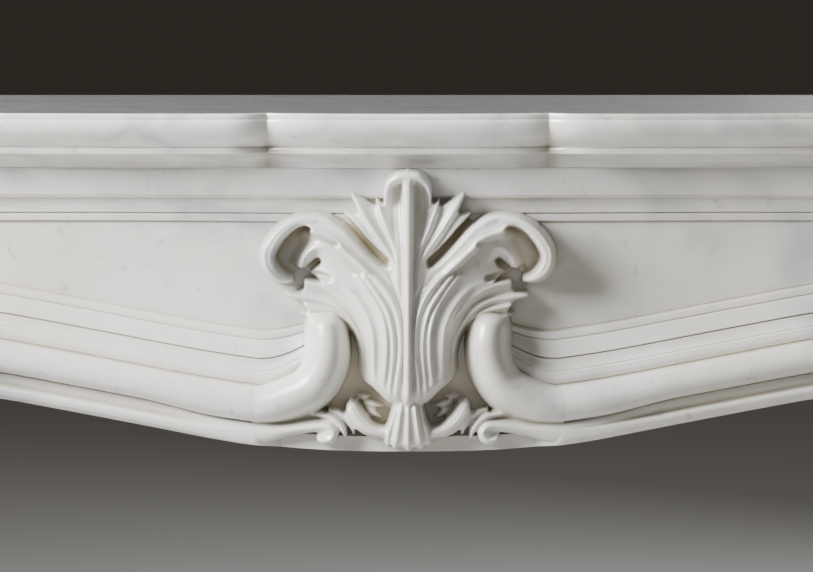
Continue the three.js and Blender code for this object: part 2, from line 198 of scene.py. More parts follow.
def sunkBelow(profile, reach, depth):
    # how far each point of a profile lies below the profile's mean within reach, as a share of depth
    at, raised = profile[:, 0], profile[:, 1]
    near = np.exp(-0.5 * ((at[:, None] - at[None]) / reach)**2) * np.gradient(at)[None].clip(0.05)
    mean = (near * raised[None]).sum(axis=1) / near.sum(axis=1)
    return np.clip((mean - raised) / depth, 0, 1)


def finishPiece(piece, material, node):
    piece.data.materials.append(material)
    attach(piece, "root")
    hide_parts(node)
    return piece


# Marble

veining = {
    "cloudScale": 5.0, "cloudRange": (0.42, 0.72),
    "driftScale": 2.2, "drift": 0.22,
    "patchScale": 8.5, "patchRange": (0.45, 0.64),
    "speckScale": 75.0, "speckRange": (0.64, 0.76),
}
rubbing = {"rippleScale": 42.0, "grainScale": 900.0, "strength": 0.55, "depth": 0.0014}
stone = {"glowRadius": (0.9, 0.75, 0.6), "glowScale": 0.004, "ior": 1.5, "coatRoughness": 0.24}


def makeGroup(name, numbers, outputs):
    # a node group with a Vector and numbers going in, and its inner ends
    group = bpy.data.node_groups.new(name, "ShaderNodeTree")
    group.interface.new_socket(name="Vector", in_out="INPUT", socket_type="NodeSocketVector")
    for label, value in numbers.items():
        socket = group.interface.new_socket(name=label, in_out="INPUT", socket_type="NodeSocketFloat")
        socket.default_value = value
    for label in outputs:
        group.interface.new_socket(name=label, in_out="OUTPUT", socket_type="NodeSocketFloat")
    return group, group.nodes.new("NodeGroupInput").outputs, group.nodes.new("NodeGroupOutput").inputs


def addNode(tree, kind, inputs, **settings):
    # a node whose inputs are linked where they are given a socket, and set where given a value
    node = tree.nodes.new("ShaderNode" + kind)
    for name, value in settings.items():
        setattr(node, name, value)
    for key, value in inputs.items():
        if isinstance(value, bpy.types.NodeSocket):
            tree.links.new(value, node.inputs[key])
        else:
            node.inputs[key].default_value = value
    return node


def addNoise(tree, place, scale, detail, **others):
    return addNode(tree, "TexNoise", {"Vector": place, "Scale": scale, "Detail": detail, **others})


def addMath(tree, operation, *values, **settings):
    return addNode(tree, "Math", dict(enumerate(values)), operation=operation, **settings).outputs[0]


def addRange(tree, value, span):
    # 0 at the lower end of the span, 1 at the upper
    ranged = addNode(tree, "MapRange", {"Value": value, "From Min": span[0], "From Max": span[1]})
    return ranged.outputs["Result"]


def makeVeinGroup():
    # soft clouds, long drifting veins and small specks, each a mask from 0 to 1
    numbers = {"Vein Scale": 3.0, "Vein Width": 0.03}
    group, given, result = makeGroup("marbleVeins", numbers, ("Clouds", "Veins", "Specks"))
    place, v = given["Vector"], veining
    cloud = addNoise(group, place, v["cloudScale"], 5.0, Distortion=0.6).outputs["Fac"]
    drift = addNoise(group, place, v["driftScale"], 6.0).outputs["Color"]
    shift = addNode(group, "VectorMath", {0: drift, 1: [v["drift"]] * 3}, operation="MULTIPLY")
    moved = addNode(group, "VectorMath", {0: place, 1: shift.outputs["Vector"]}, operation="ADD")
    bent = moved.outputs["Vector"]
    # a vein runs where a noise crosses its middle value, and only inside patches
    vein = addNoise(group, bent, given["Vein Scale"], 4.0, Roughness=0.55).outputs["Fac"]
    off = addMath(group, "ABSOLUTE", addMath(group, "SUBTRACT", vein, 0.5))
    share = addMath(group, "DIVIDE", off, given["Vein Width"])
    line = addMath(group, "SUBTRACT", 1.0, share, use_clamp=True)
    patch = addNoise(group, place, v["patchScale"], 2.0).outputs["Fac"]
    speck = addNoise(group, bent, v["speckScale"], 3.0).outputs["Fac"]
    group.links.new(addRange(group, cloud, v["cloudRange"]), result["Clouds"])
    kept = addMath(group, "MULTIPLY", line, addRange(group, patch, v["patchRange"]))
    group.links.new(kept, result["Veins"])
    group.links.new(addRange(group, speck, v["speckRange"]), result["Specks"])
    return group


def makeToolingGroup():
    # the faint unevenness that rubbing by hand leaves: broad ripples and a fine grain
    group, given, result = makeGroup("handRubbed", {"Ripple": 0.6, "Grain": 0.1}, ("Height",))
    ripple = addNoise(group, given["Vector"], rubbing["rippleScale"], 1.5).outputs["Fac"]
    grain = addNoise(group, given["Vector"], rubbing["grainScale"], 2.0).outputs["Fac"]
    broad = addMath(group, "MULTIPLY", ripple, given["Ripple"])
    group.links.new(addMath(group, "MULTIPLY_ADD", grain, given["Grain"], broad), result["Height"])
    return group


veinGroup = makeVeinGroup()
toolingGroup = makeToolingGroup()


def makeMarble(name, look):
    # white, tinted in turn by clouds, veins, specks and painted shade in hollows, rougher in the clouds
    material = bpy.data.materials.new(name)
    material.use_nodes = True
    tree = material.node_tree
    shader = tree.nodes["Principled BSDF"]
    place = addNode(tree, "TexCoord", {}).outputs["Object"]
    block = addNode(tree, "Mapping", {"Vector": place, "Location": look["blockPlace"],
                                      "Scale": look["stretch"]})
    veins = tree.nodes.new("ShaderNodeGroup")
    veins.node_tree = veinGroup
    veins.inputs["Vein Scale"].default_value = look["veinScale"]
    veins.inputs["Vein Width"].default_value = look["veinWidth"]
    tree.links.new(block.outputs["Vector"], veins.inputs["Vector"])

    colour = look["white"]
    layers = [(veins.outputs["Clouds"], "warm", "warmAmount"),
              (veins.outputs["Veins"], "grey", "veinAmount"),
              (veins.outputs["Specks"], "grey", "speckAmount")]
    if look["shadeAmount"]:
        # painted shade: the hollow mask tints the colour brown in creases and recesses
        hollow = addNode(tree, "Attribute", {}, attribute_name="hollow").outputs["Fac"]
        layers.append((hollow, "shadeTint", "shadeAmount"))
    for mask, tint, amount in layers:
        share = addMath(tree, "MULTIPLY", mask, look[amount])
        mixed = addNode(tree, "Mix", {"Factor": share, "A": colour, "B": look[tint]}, data_type="RGBA")
        colour = mixed.outputs["Result"]
    tree.links.new(colour, shader.inputs["Base Color"])
    low, high = look["roughness"]
    rough = addNode(tree, "MapRange", {"Value": veins.outputs["Clouds"], "To Min": low, "To Max": high})
    tree.links.new(rough.outputs["Result"], shader.inputs["Roughness"])

    tooling = tree.nodes.new("ShaderNodeGroup")
    tooling.node_tree = toolingGroup
    tooling.inputs["Ripple"].default_value = look["ripple"]
    tooling.inputs["Grain"].default_value = look["grain"]
    tree.links.new(place, tooling.inputs["Vector"])
    bump = addNode(tree, "Bump", {"Height": tooling.outputs["Height"], "Strength": rubbing["strength"],
                                  "Distance": rubbing["depth"]})
    tree.links.new(bump.outputs["Normal"], shader.inputs["Normal"])

    shader.inputs["Subsurface Weight"].default_value = look["glow"]
    shader.inputs["Subsurface Radius"].default_value = stone["glowRadius"]
    shader.inputs["Subsurface Scale"].default_value = stone["glowScale"]
    shader.inputs["IOR"].default_value = stone["ior"]
    shader.inputs["Specular IOR Level"].default_value = look["shine"]
    shader.inputs["Coat Weight"].default_value = look["polish"]
    shader.inputs["Coat Roughness"].default_value = stone["coatRoughness"]
    return material


# shadeTint is the brown of the painted shade in hollows, and shadeAmount its strength
friezeLook = {
    "blockPlace": (0.31, 0.12, 0.44), "stretch": (1.0, 1.0, 1.0),
    "white": (0.75, 0.744, 0.718, 1), "warm": (0.6, 0.565, 0.455, 1), "warmAmount": 0.85,
    "grey": (0.4, 0.42, 0.45, 1), "veinScale": 4.4, "veinWidth": 0.075, "veinAmount": 0.85,
    "speckAmount": 0.7, "roughness": (0.3, 0.4), "shine": 0.95, "polish": 0.45,
    "ripple": 0.7, "grain": 0.05, "glow": 0.25, "shadeTint": (0.5, 0.42, 0.27, 1), "shadeAmount": 0.6,
}
carvingLook = dict(friezeLook, shadeTint=(0.38, 0.32, 0.2, 1), shadeAmount=1.0)
# painted light: the shelf is a lighter copy of the same marble, brightening its ovolo as if lit more
shelfLook = dict(
    friezeLook, blockPlace=(0.83, 0.31, 0.2), stretch=(1.0, 1.6, 1.0), white=(0.9, 0.896, 0.88, 1),
    veinAmount=0.6, veinWidth=0.05, speckAmount=0.6, roughness=(0.28, 0.38),
    shadeTint=(0.4, 0.35, 0.25, 1), shadeAmount=0.9)
# painted shade: the shelf's top is a dark grey copy of the marble, standing for the shade on it
shelfTopShadeLook = dict(
    shelfLook, blockPlace=(0.2, 0.9, 0.2), stretch=(3.0, 8.0, 1.0), white=(0.145, 0.149, 0.155, 1),
    warm=(0.055, 0.057, 0.061, 1), warmAmount=0.8, grey=(0.1, 0.102, 0.105, 1), veinAmount=0.5,
    speckAmount=0.5, roughness=(0.4, 0.55), polish=0.0, shadeAmount=0.0)
jambLook = dict(friezeLook, blockPlace=(0.1, 0.7, 0.9), stretch=(1.0, 1.0, 0.6))
blockLook = dict(friezeLook, blockPlace=(0.5, 0.2, 0.1), veinAmount=0.45)
friezeMarble = makeMarble("carvedMarble", friezeLook)
keystoneMarble = makeMarble("keystoneMarble", carvingLook)
shelfMarble = makeMarble("shelfMarble", shelfLook)
shelfTopShadedMarble = makeMarble("shelfTopShadedMarble", shelfTopShadeLook)
jambMarble = makeMarble("jambMarble", jambLook)
blockMarble = makeMarble("blockMarble", blockLook)
print("marble made")


# Shelf

shelf = {
    "filletHeight": 4.9,
    "filletQuirk": 0.9,
    "ovoloHeight": 24.2,
    "ovoloDepth": 19.0,
    "beadHeight": 5.8,
    "coveHeight": 12.8,
    "coveQuirk": 3.0,
    "coveClear": 13.0,           # cove's end to the frieze's face behind it
    "coveReach": (25.0, 46.0),   # least and most from the shelf's edge to the cove's end
    "coveAtSides": 41.0,
    "cuspAt": 120.7,
    "bowRise": 16.0,
    "shoulderRise": 13.0,
    "shoulderLength": 38.0,
    "waistAt": 520.0,
    "waistSetback": 30.0,
    "earSetback": 15.0,
    "cornerRadius": 60.0,
    "squareUntil": 420.0,        # the members step straight back as far as this
    "squareOver": 200.0,
    # painted shade in both cusps and in the bead's quirks
    "cuspShade": 0.9,
    "cuspShadeReach": 12.0,
    "lineShade": 0.35,
}
earAt = mantel["shelfWidth"] / 2 - shelf["cornerRadius"]
shoulderEnd = shelf["cuspAt"] + shelf["shoulderLength"]


def shelfSetback(x):
    # a parabola with a tenth power to the cusp, a falling power up the shoulder, then eased runs to
    # the waist and the ear
    s = shelf
    crown = s["bowRise"] - s["shoulderRise"]
    bow = s["bowRise"] * (0.65 * (x / s["cuspAt"])**2 + 0.35 * (x / s["cuspAt"])**10)
    left = np.clip(1 - (x - s["cuspAt"]) / s["shoulderLength"], 0, 1)
    shoulder = s["bowRise"] - s["shoulderRise"] * (1 - left**2.3)
    waistShare = ease((np.maximum(x - shoulderEnd, 0) / (s["waistAt"] - shoulderEnd))**1.6)
    earShare = ease((x - s["waistAt"]) / (earAt - s["waistAt"]))
    toWaist = crown + (s["waistSetback"] - crown) * waistShare
    toEar = s["waistSetback"] + (s["earSetback"] - s["waistSetback"]) * earShare
    return np.select([x <= s["cuspAt"], x < shoulderEnd, x < s["waistAt"]], [bow, shoulder, toWaist], toEar)


def shelfEdge():
    # from the top down, as (depth below the top, distance set back, share of the cove's reach):
    # fillet, ovolo as a power of its height, bead as an arc, and cove as a quarter of a circle
    s = shelf
    head = [[0, 9.0], [0, 2.6], [0.35, 1.85], [1.0, 1.5], [s["filletHeight"] - 0.4, 1.5],
            [s["filletHeight"] + 0.3, 2.0]]
    top = s["filletHeight"] + s["filletQuirk"]
    t = np.linspace(0, 1, 26)
    ovolo = np.stack([top + s["ovoloHeight"] * t,
                      s["ovoloDepth"] * t**2.2 + s["filletQuirk"] * (1 - t)**9], axis=1)
    b = np.linspace(0.12, np.pi - 0.3, 10)
    bead = np.stack([top + s["ovoloHeight"] + s["beadHeight"] / 2 * (1 - np.cos(b)),
                     s["ovoloDepth"] + 0.2 - 1.1 * np.sin(b)], axis=1)
    outer = np.concatenate([head, ovolo, bead])
    c = np.linspace(0.05, np.pi / 2, 14)
    cove = np.stack([mantel["shelfThickness"] - s["coveHeight"] * np.cos(c),
                     np.full(len(c), s["ovoloDepth"] + s["coveQuirk"]), np.sin(c)], axis=1)
    return np.concatenate([np.column_stack([outer, np.zeros(len(outer))]), cove])


def shelfPath():
    # the shelf's edge, from the left end of the wall round the front to the right end
    half, radius, cusp = mantel["shelfWidth"] / 2, shelf["cornerRadius"], shelf["cuspAt"]
    x = np.concatenate([np.linspace(0, cusp, 26), np.linspace(cusp, shoulderEnd, 22)[1:],
                        np.linspace(shoulderEnd, earAt, 90)[1:]])
    front = np.stack([x, frontY + shelfSetback(x)], axis=1)
    a = np.linspace(0, np.pi / 2, 24)[1:]
    corner = np.stack([earAt + radius * np.sin(a),
                       frontY + shelf["earSetback"] + radius * (1 - np.cos(a))], axis=1)
    right = np.concatenate([front, corner, [[half, wallY - 60], [half, wallY]]])
    return np.concatenate([right[:0:-1] * [-1, 1], right])


def inwardAlong(path):
    # the mean direction of the two runs at each point, turned a quarter and lengthened at corners,
    # so that a line set in by it stays parallel
    run = np.diff(path, axis=0)
    run /= np.linalg.norm(run, axis=1, keepdims=True)
    before, after = np.vstack([run[:1], run]), np.vstack([run, run[-1:]])
    normal = np.stack([-(before + after)[:, 1], (before + after)[:, 0]], axis=1)
    normal /= np.linalg.norm(normal, axis=1, keepdims=True)
    normal /= (-before[:, 1] * normal[:, 0] + before[:, 0] * normal[:, 1])[:, None]
    normal[0], normal[-1] = (1, 0), (-1, 0)
    return normal


def makeShelf():
    # each line of the edge's profile is the path set in by its distance, plus its share of the
    # cove's reach
    path, edge = shelfPath(), shelfEdge()
    away = np.abs(path[:, 0])
    # along the front the members step straight back, and each cusp runs straight down through them
    sideways = ease((away - shelf["squareUntil"]) / shelf["squareOver"])
    sideways = np.where(path[:, 1] < wallY - 100, sideways, 1.0)[:, None]
    normal = np.array([[0.0, 1.0]]) * (1 - sideways) + inwardAlong(path) * sideways
    # the cove ends just in front of the frieze's face below it
    front = frontY + shelfSetback(np.minimum(away, earAt))
    face = np.where(away < earAt, panelY - bowAt(away) - shelf["coveClear"] - front, shelf["coveAtSides"])
    reachIn = np.clip(face, *shelf["coveReach"]) - shelf["ovoloDepth"] - shelf["coveQuirk"]
    inset = edge[:, 1][:, None] + edge[:, 2][:, None] * reachIn[None]
    rings = np.empty((len(edge), len(path), 3))
    rings[..., :2] = path[None] + normal[None] * inset[..., None]
    rings[..., 2] = (mantel["height"] - edge[:, 0])[:, None]
    piece = finishPiece(loftPiece("shelfSlab", rings), shelfMarble, "shelf")
    # painted shade lies in both cusps, darker lower down, and in the quirk on each side of the bead
    fromCusp = np.abs(away - shelf["cuspAt"])
    cusps = shelf["cuspShade"] * np.exp(-fromCusp / shelf["cuspShadeReach"]) * (path[:, 1] < 0)
    lines = shelf["lineShade"] * sunkBelow(edge[:, :2] * [1, -1], 1.8, 3.0)
    lowDown = np.clip(edge[:, 0] / 30, 0.25, 1)
    setPaintedShade(piece, np.clip(lowDown[:, None] * cusps[None] + lines[:, None], 0, 1))
    # the top faces get the dark painted-shade marble
    piece.data.materials.append(shelfTopShadedMarble)
    middles = np.empty(len(piece.data.polygons) * 3)
    piece.data.polygons.foreach_get("center", middles)
    onTop = middles[2::3] > (mantel["height"] - 0.1) / 1000
    piece.data.polygons.foreach_set("material_index", onTop.astype(np.int32))


# Frieze

frieze = {
    "bow": 14.0,
    "bowReach": 300.0,
    "edgeSlope": 0.189,
    "slopeHeld": (0.517, 0.72),  # from and to these shares of the way to the joint
    "cornerRadius": 70.0,
    "rollCrest": 38.0,
    "rollGrowth": 3.7,           # downwards, beside the keystone
    "beadGround": 15.0,
    "recess": 7.0,               # ground behind the keystone
    # painted shade on the ground behind the keystone's leaves
    "recessShade": 0.8,
    # beside the keystone, each as (distance from the middle line, length that the change takes)
    "beadJoins": (215.0, 75.0),
    "rollGrows": (235.0, 70.0),
    "membersTurn": (131.0, 42.0),
    "beadStops": (110.0, 24.0),
    "rollStops": (110.0, 25.0),
    "membersStop": (66.0, 20.0),
}
jointX = mantel["openingWidth"] / 2 - frieze["cornerRadius"]


def edgeRise(u):
    # the opening's edge: its slope eases in, holds and eases out at the joint with the jamb
    easeIn, easeOut = (share * jointX for share in frieze["slopeHeld"])
    t = np.clip(u / easeIn, 0, 1)
    past = np.maximum(0, u - easeOut)
    r = np.clip(past / (jointX - easeOut), 0, 1)
    middle = np.maximum(0, np.minimum(u, easeOut) - easeIn)
    falling = (jointX - easeOut) * (r**3 - r**4 / 2)
    return frieze["edgeSlope"] * (easeIn * (t**3 - t**4 / 2) + middle + past - falling)


def bowAt(u):
    # a squared cosine, from the middle to its reach
    return frieze["bow"] * np.cos(np.pi / 2 * np.clip(np.abs(u) / frieze["bowReach"], 0, 1))**2


def openingMoulding():
    # from the opening's edge up: bead, small swell, big roll, strip, cove, sloped band, fillet, with
    # a quirk at each line, as (distance up, raise); the roll is a half-round, the cove a quarter
    head = softened([[0, 14], [0, 19.5], [1.4, 23.4], [4.6, 26.8], [8.6, 28.6], [11.2, 28.2], [12.2, 26],
                     [12.6, 20.4], [13.4, 20.0]], 1.0)
    b = np.linspace(0, 1, 9)
    swell = np.stack([13.4 + 9.6 * b, 20.0 + 2.4 * b + 0.9 * np.sin(np.pi * b)], axis=1)
    join = softened([[23.0, 22.4], [23.5, 20.6], [24.0, 21.5]], 0.4)
    a = np.linspace(0, np.pi, 26)
    roll = np.stack([38.1 - 14.1 * np.cos(a), 21.5 + (frieze["rollCrest"] - 21.5) * np.sin(a)**0.9], axis=1)
    strip = softened([[52.2, 21.5], [52.9, 19.6], [53.7, 21.2], [58, 21.6], [63.0, 20.6], [63.9, 18.0],
                      [65.0, 18.4]], 0.6)
    cove = np.stack([65.0 + 8.6 * b, 18.4 - 5.0 * np.sin(np.pi / 2 * b)**0.8], axis=1)
    tail = softened([[73.6, 13.4], [74.6, 9.8], [75.5, 13.0], [82, 10.4], [89.4, 7.0], [90.4, 4.0],
                     [91.3, 5.4], [97.0, 4.4], [97.7, 0.6], [98.5, -1.0], [99.6, 0]], 0.6)
    return np.concatenate([head, swell[1:], join[1:-1], roll, strip[1:], cove[1:], tail[1:],
                           [[103, 0], [108, 0]]])


def outerFrame():
    # from the outer edge in: flat, cavetto, fillet, with a quirk at each line
    a = np.linspace(0, np.pi / 2, 12)
    cavetto = np.stack([25.4 + 13.8 * (1 - np.cos(a)), 11.0 - 6.8 * np.sin(a)], axis=1)
    head = softened([[0, 12], [23.8, 12], [24.6, 10.4], [25.4, 11.0]], 0.6)
    tail = softened([[39.2, 4.2], [40.1, 1.4], [41.0, 3.0], [46.8, 2.7], [47.7, -0.9], [48.8, 0]], 0.6)
    return np.concatenate([head, cavetto[1:], tail[1:], [[52, 0], [57, 0]]])


def mouldingShade(profile):
    # painted shade: narrow quirks and broad hollows both get some, and it fades out at the profile's end
    inside = np.clip((profile[-1, 0] - profile[:, 0]) / 4, 0, 1)
    return inside * (0.65 * sunkBelow(profile, 2.2, 3.0) + 0.45 * sunkBelow(profile, 7.0, 10.0))


def nearer(u, change):
    # 0 where the change starts and 1 where it is complete, on the way to the middle line
    start, length = frieze[change]
    return (start - u) / length


def makeFriezeBody():
    # at each x, the moulding stands on the edge and the frame hangs from the top, both raised from
    # the bowed face; beside the keystone the moulding's members give way to its ground
    reach = jointX - mantel["gap"] / 2
    u = np.concatenate([np.linspace(0, 150, 76), np.linspace(150, reach, 100)[1:]])
    x = np.concatenate([-u[:0:-1], u])
    u = np.abs(x)[:, None]
    lower, upper = openingMoulding(), outerFrame()
    d, raised = lower[:, 0][None], lower[:, 1][None]
    beadEnd, swellEnd, rollStart, rollEnd, mouldingEnd = 13.2, 23.6, 23.8, 52.6, 99.0
    # bead and swell run together into one half-ellipse, which the scroll takes up
    together = ease(nearer(u, "beadJoins")) * (d < swellEnd)
    oneBand = 20 + 8.5 * np.sqrt(np.clip(1 - ((d - 10.5) / 12.2)**2, 0, 1))
    raised = raised * (1 - together) + oneBand * together
    # near the keystone the upper members turn up and close together
    turnUp = (np.clip(nearer(u, "membersTurn"), 0, 1)**1.7) * np.clip((d - 40) / 10, 0, 1)
    turnUp = turnUp * (24 - 14 * np.clip((d - 50) / 46, 0, 1))
    stops = [ease(-nearer(u, change)) for change in ("beadStops", "rollStops", "membersStop")]
    full = np.select([d < rollStart, d < rollEnd], stops[:2], stops[2])
    ground = np.where(d < beadEnd, frieze["beadGround"], frieze["recess"]) * ease((mouldingEnd - d) / 45)
    # the roll grows downwards as it nears the keystone
    grow = frieze["rollGrowth"] * ease(nearer(u, "rollGrows")) * np.interp(d, [13.4, 24.0, 52.2], [0, 1, 0])
    front = panelY - bowAt(u)
    low = mantel["openingHeight"] + edgeRise(u)
    ones = np.ones((len(x), 1))
    y = np.concatenate([slabBackY * ones, front - (raised * full + ground * (1 - full)),
                        front - upper[::-1, 1][None], slabBackY * ones], axis=1)
    z = np.concatenate([low, low + d + turnUp - grow, (friezeTop - upper[::-1, 0][None]) * ones,
                        friezeTop * ones], axis=1)
    piece = loftPiece("friezeSlab", np.stack([np.broadcast_to(x[:, None], y.shape), y, z], axis=-1))
    # painted shade in the moulding's quirks and hollows, and on the ground behind the leaves
    paintedShade = np.tile(np.concatenate([[0], mouldingShade(lower), mouldingShade(upper)[::-1], [0]]), (len(x), 1))
    behindLeaves = (1 - full) * (d > beadEnd) * np.clip((mouldingEnd - d) / 8, 0, 1)
    members = slice(1, len(lower) + 1)
    paintedShade[:, members] = paintedShade[:, members] * (1 - together) + frieze["recessShade"] * behindLeaves
    setPaintedShade(piece, np.clip(paintedShade, 0, 1))
    return piece


# the shelf waits for the frieze's bow, which its cove follows
makeShelf()
print("shelf made")
finishPiece(makeFriezeBody(), friezeMarble, "frieze")
print("frieze made")


# Keystone carving
# Each leaf is drawn on the face as lines of (across, down, raise). Across and down are squares of
# the view from the front, from its middle line and its upper edge. Raise is millimetres in front
# of the sunk face.

carving = {
    "cell": 0.359,               # before the cells are averaged in pairs
    "reach": 136.0,              # to either side
    "below": 8.0,
    "above": 247.0,
    "square": 0.86,              # one square of the view, on the face
    "soften": 0.87,
    "blend": 1.3,                # height over which two leaves run together
    "buried": -6.0,
    "highest": 54.0,
    "rimAt": -1.5,               # raise where the relief ends, behind the face
    "rimShort": 20.0,            # rim's end to the back of the slab
    # painted shade in the carving's hollows
    "shadeHollows": ((0.6, 5.0, 9.0), (0.5, 12.0, 20.0)),   # amount, and the width and depth of its hollows
}
cols = int(carving["reach"] / carving["cell"]) // 2 * 2
rows = int((carving["below"] + carving["above"]) / carving["cell"]) // 2 * 2


def onFace(lines):
    # where the line of sight through each square meets the stone at that raise
    p = np.asarray(lines, float)
    look = math.radians(view["lookDown"])
    across, upward = p[..., 0] / view["focal"], (view["middleRow"] - p[..., 1]) / view["focal"]
    forward = math.cos(look) + upward * math.sin(look)
    climb = -math.sin(look) + upward * math.cos(look)
    lensY = frontY - view["distance"]
    far = (panelY - bowAt(p[..., 0] * carving["square"]) - p[..., 2] - lensY) / forward
    up = view["height"] + climb * far - mantel["openingHeight"]
    return np.stack([across * far, up, p[..., 2]], axis=-1)


def spread(surface):
    # mean raise of the surface's samples in each cell; cells without one are buried
    s = surface.reshape(-1, 3)
    col = np.floor(s[:, 0] / carving["cell"]).astype(int)
    row = np.floor((s[:, 1] + carving["below"]) / carving["cell"]).astype(int)
    ok = (col >= 0) & (col < cols) & (row >= 0) & (row < rows)
    flat = row[ok] * cols + col[ok]
    count = np.bincount(flat, minlength=rows * cols).reshape(rows, cols).astype(float)
    total = np.bincount(flat, weights=s[ok, 2], minlength=rows * cols).reshape(rows, cols)
    count, total = boxed(count), boxed(total)
    return np.where(count > 0, total / np.maximum(count, 1e-9), carving["buried"])


def boxed(a):
    # sum over each cell and its eight neighbours, mirrored at the middle line
    wide = np.concatenate([a[:, :1], a, a[:, -1:] * 0], axis=1)
    wide = wide[:, :-2] + wide[:, 1:-1] + wide[:, 2:]
    tall = np.concatenate([wide[:1] * 0, wide, wide[:1] * 0], axis=0)
    return tall[:-2] + tall[1:-1] + tall[2:]


def joinedHigh(a, b, k):
    # the higher of two heights, rounded where they cross
    return np.maximum(a, b) + np.clip(k - np.abs(a - b), 0, None)**2 / (4 * k)


def blurred(a, sigma):
    # mean weighted by the bell curve, mirrored at the middle line and held at the other edges
    n = int(3 * sigma) + 1
    weights = np.exp(-0.5 * (np.arange(-n, n + 1) / sigma)**2)
    weights /= weights.sum()
    wide = np.concatenate([a[:, :n][:, ::-1], a, np.repeat(a[:, -1:], n, axis=1)], axis=1)
    out = sum(w * wide[:, i:i + a.shape[1]] for i, w in enumerate(weights))
    tall = np.concatenate([np.repeat(out[:1], n, axis=0), out, np.repeat(out[-1:], n, axis=0)])
    return sum(w * tall[i:i + a.shape[0]] for i, w in enumerate(weights))


def acrossLines(along, fine):
    # the lines are carried into a sheet by smooth curves across them
    t = np.linspace(0, len(along) - 1, fine)
    i = np.clip(t.astype(int), 0, len(along) - 2)
    return cubic(along, np.gradient(along, axis=0), i, (t - i)[:, None, None])


def draped(lines, fine=420, long=700):
    # a smooth sheet through several lines
    return acrossLines(np.stack([curveThrough(line, long) for line in lines]), fine)


def fluted(ridges, drops, notch=1.0, fine=26, long=700, shallow=0.0):
    # a smooth sheet over ridge lines, with a valley line sunk by drop halfway between two lines
    # where drop isn't 0; notch pulls the valleys' far ends back, so that the ridges end in points,
    # and the valleys fade out over the first share of their length given by shallow
    lines = [curveThrough(r, long) for r in ridges]
    woven = [lines[0]]
    t = np.linspace(0, 1, long)
    for a, b, drop in zip(lines[:-1], lines[1:], drops):
        if drop:
            middle = (a + b) / 2
            valley = np.stack([np.interp(t * notch, t, middle[:, k]) for k in range(3)], axis=1)
            valley[:, 2] -= drop * (ease(t / shallow) if shallow else 1)
            woven.append(valley)
        woven.append(b)
    return acrossLines(np.stack(woven), fine * len(woven))


def flatAcross(k, t):
    return np.ones_like(k)


def roundAcross(low):
    # low at both sides, 1 in the middle, by the square root of 1 less k squared
    return lambda k, t: low + (1 - low) * np.sqrt(np.clip(1 - k * k, 0, 1))


def banded(line, widths, profile, fine=90, long=700):
    # a band along a line: half-width in squares by share of length, raise scaled by profile(k, t)
    # at k across it, from -1 to 1, and t along it, from 0 to 1
    centre = curveThrough(line, long)
    run = np.gradient(centre[:, :2], axis=0)
    run /= np.linalg.norm(run, axis=1, keepdims=True) + 1e-9
    t = np.linspace(0, 1, long)
    width = np.interp(t, np.linspace(0, 1, len(widths)), widths)
    k = np.linspace(-1, 1, fine)[:, None]
    across = centre[None, :, 0] - run[None, :, 1] * width[None] * k
    down = centre[None, :, 1] + run[None, :, 0] * width[None] * k
    raised = centre[None, :, 2] * profile(k, t[None]) * np.ones_like(across)
    return np.stack([across, down, raised], axis=-1)


def edgeStrip(curved, straight, swell, fine=60, long=600):
    # a strip from a curved edge to a straight-sided one, swollen by half a sine wave across it
    a, b = curveThrough(curved, long), straightThrough(straight, long)
    k = np.linspace(0, 1, fine)[:, None, None]
    part = a[None] * (1 - k) + b[None] * k
    part[..., 2] += swell * np.sin(np.pi * k[..., 0])
    return part


def rollSurface(line, widths, fine=260, long=900):
    # the moulding's own half-round where the roll leaves it, with its crest lower on the view, and
    # a full round at its end: low + (1 - low) times the square root of 1 less k squared
    def along(t):
        return ease((t - 0.08) / 0.34)

    surface = banded(line, widths, lambda k, t: roundAcross(0.57 - 0.37 * along(t))(k, t), fine, long)
    k, t = np.linspace(-1, 1, fine)[:, None], np.linspace(0, 1, long)[None]
    surface[..., 1] += 2.6 * np.sqrt(1 - k * k) * (1 - along(t))
    return surface


# The lines of the carving's right half. A band has its line, then its half-widths along it, and
# where it is rounded, its raise at both sides as a share of that in the middle. Drops are the
# depths of the valleys between ridges.

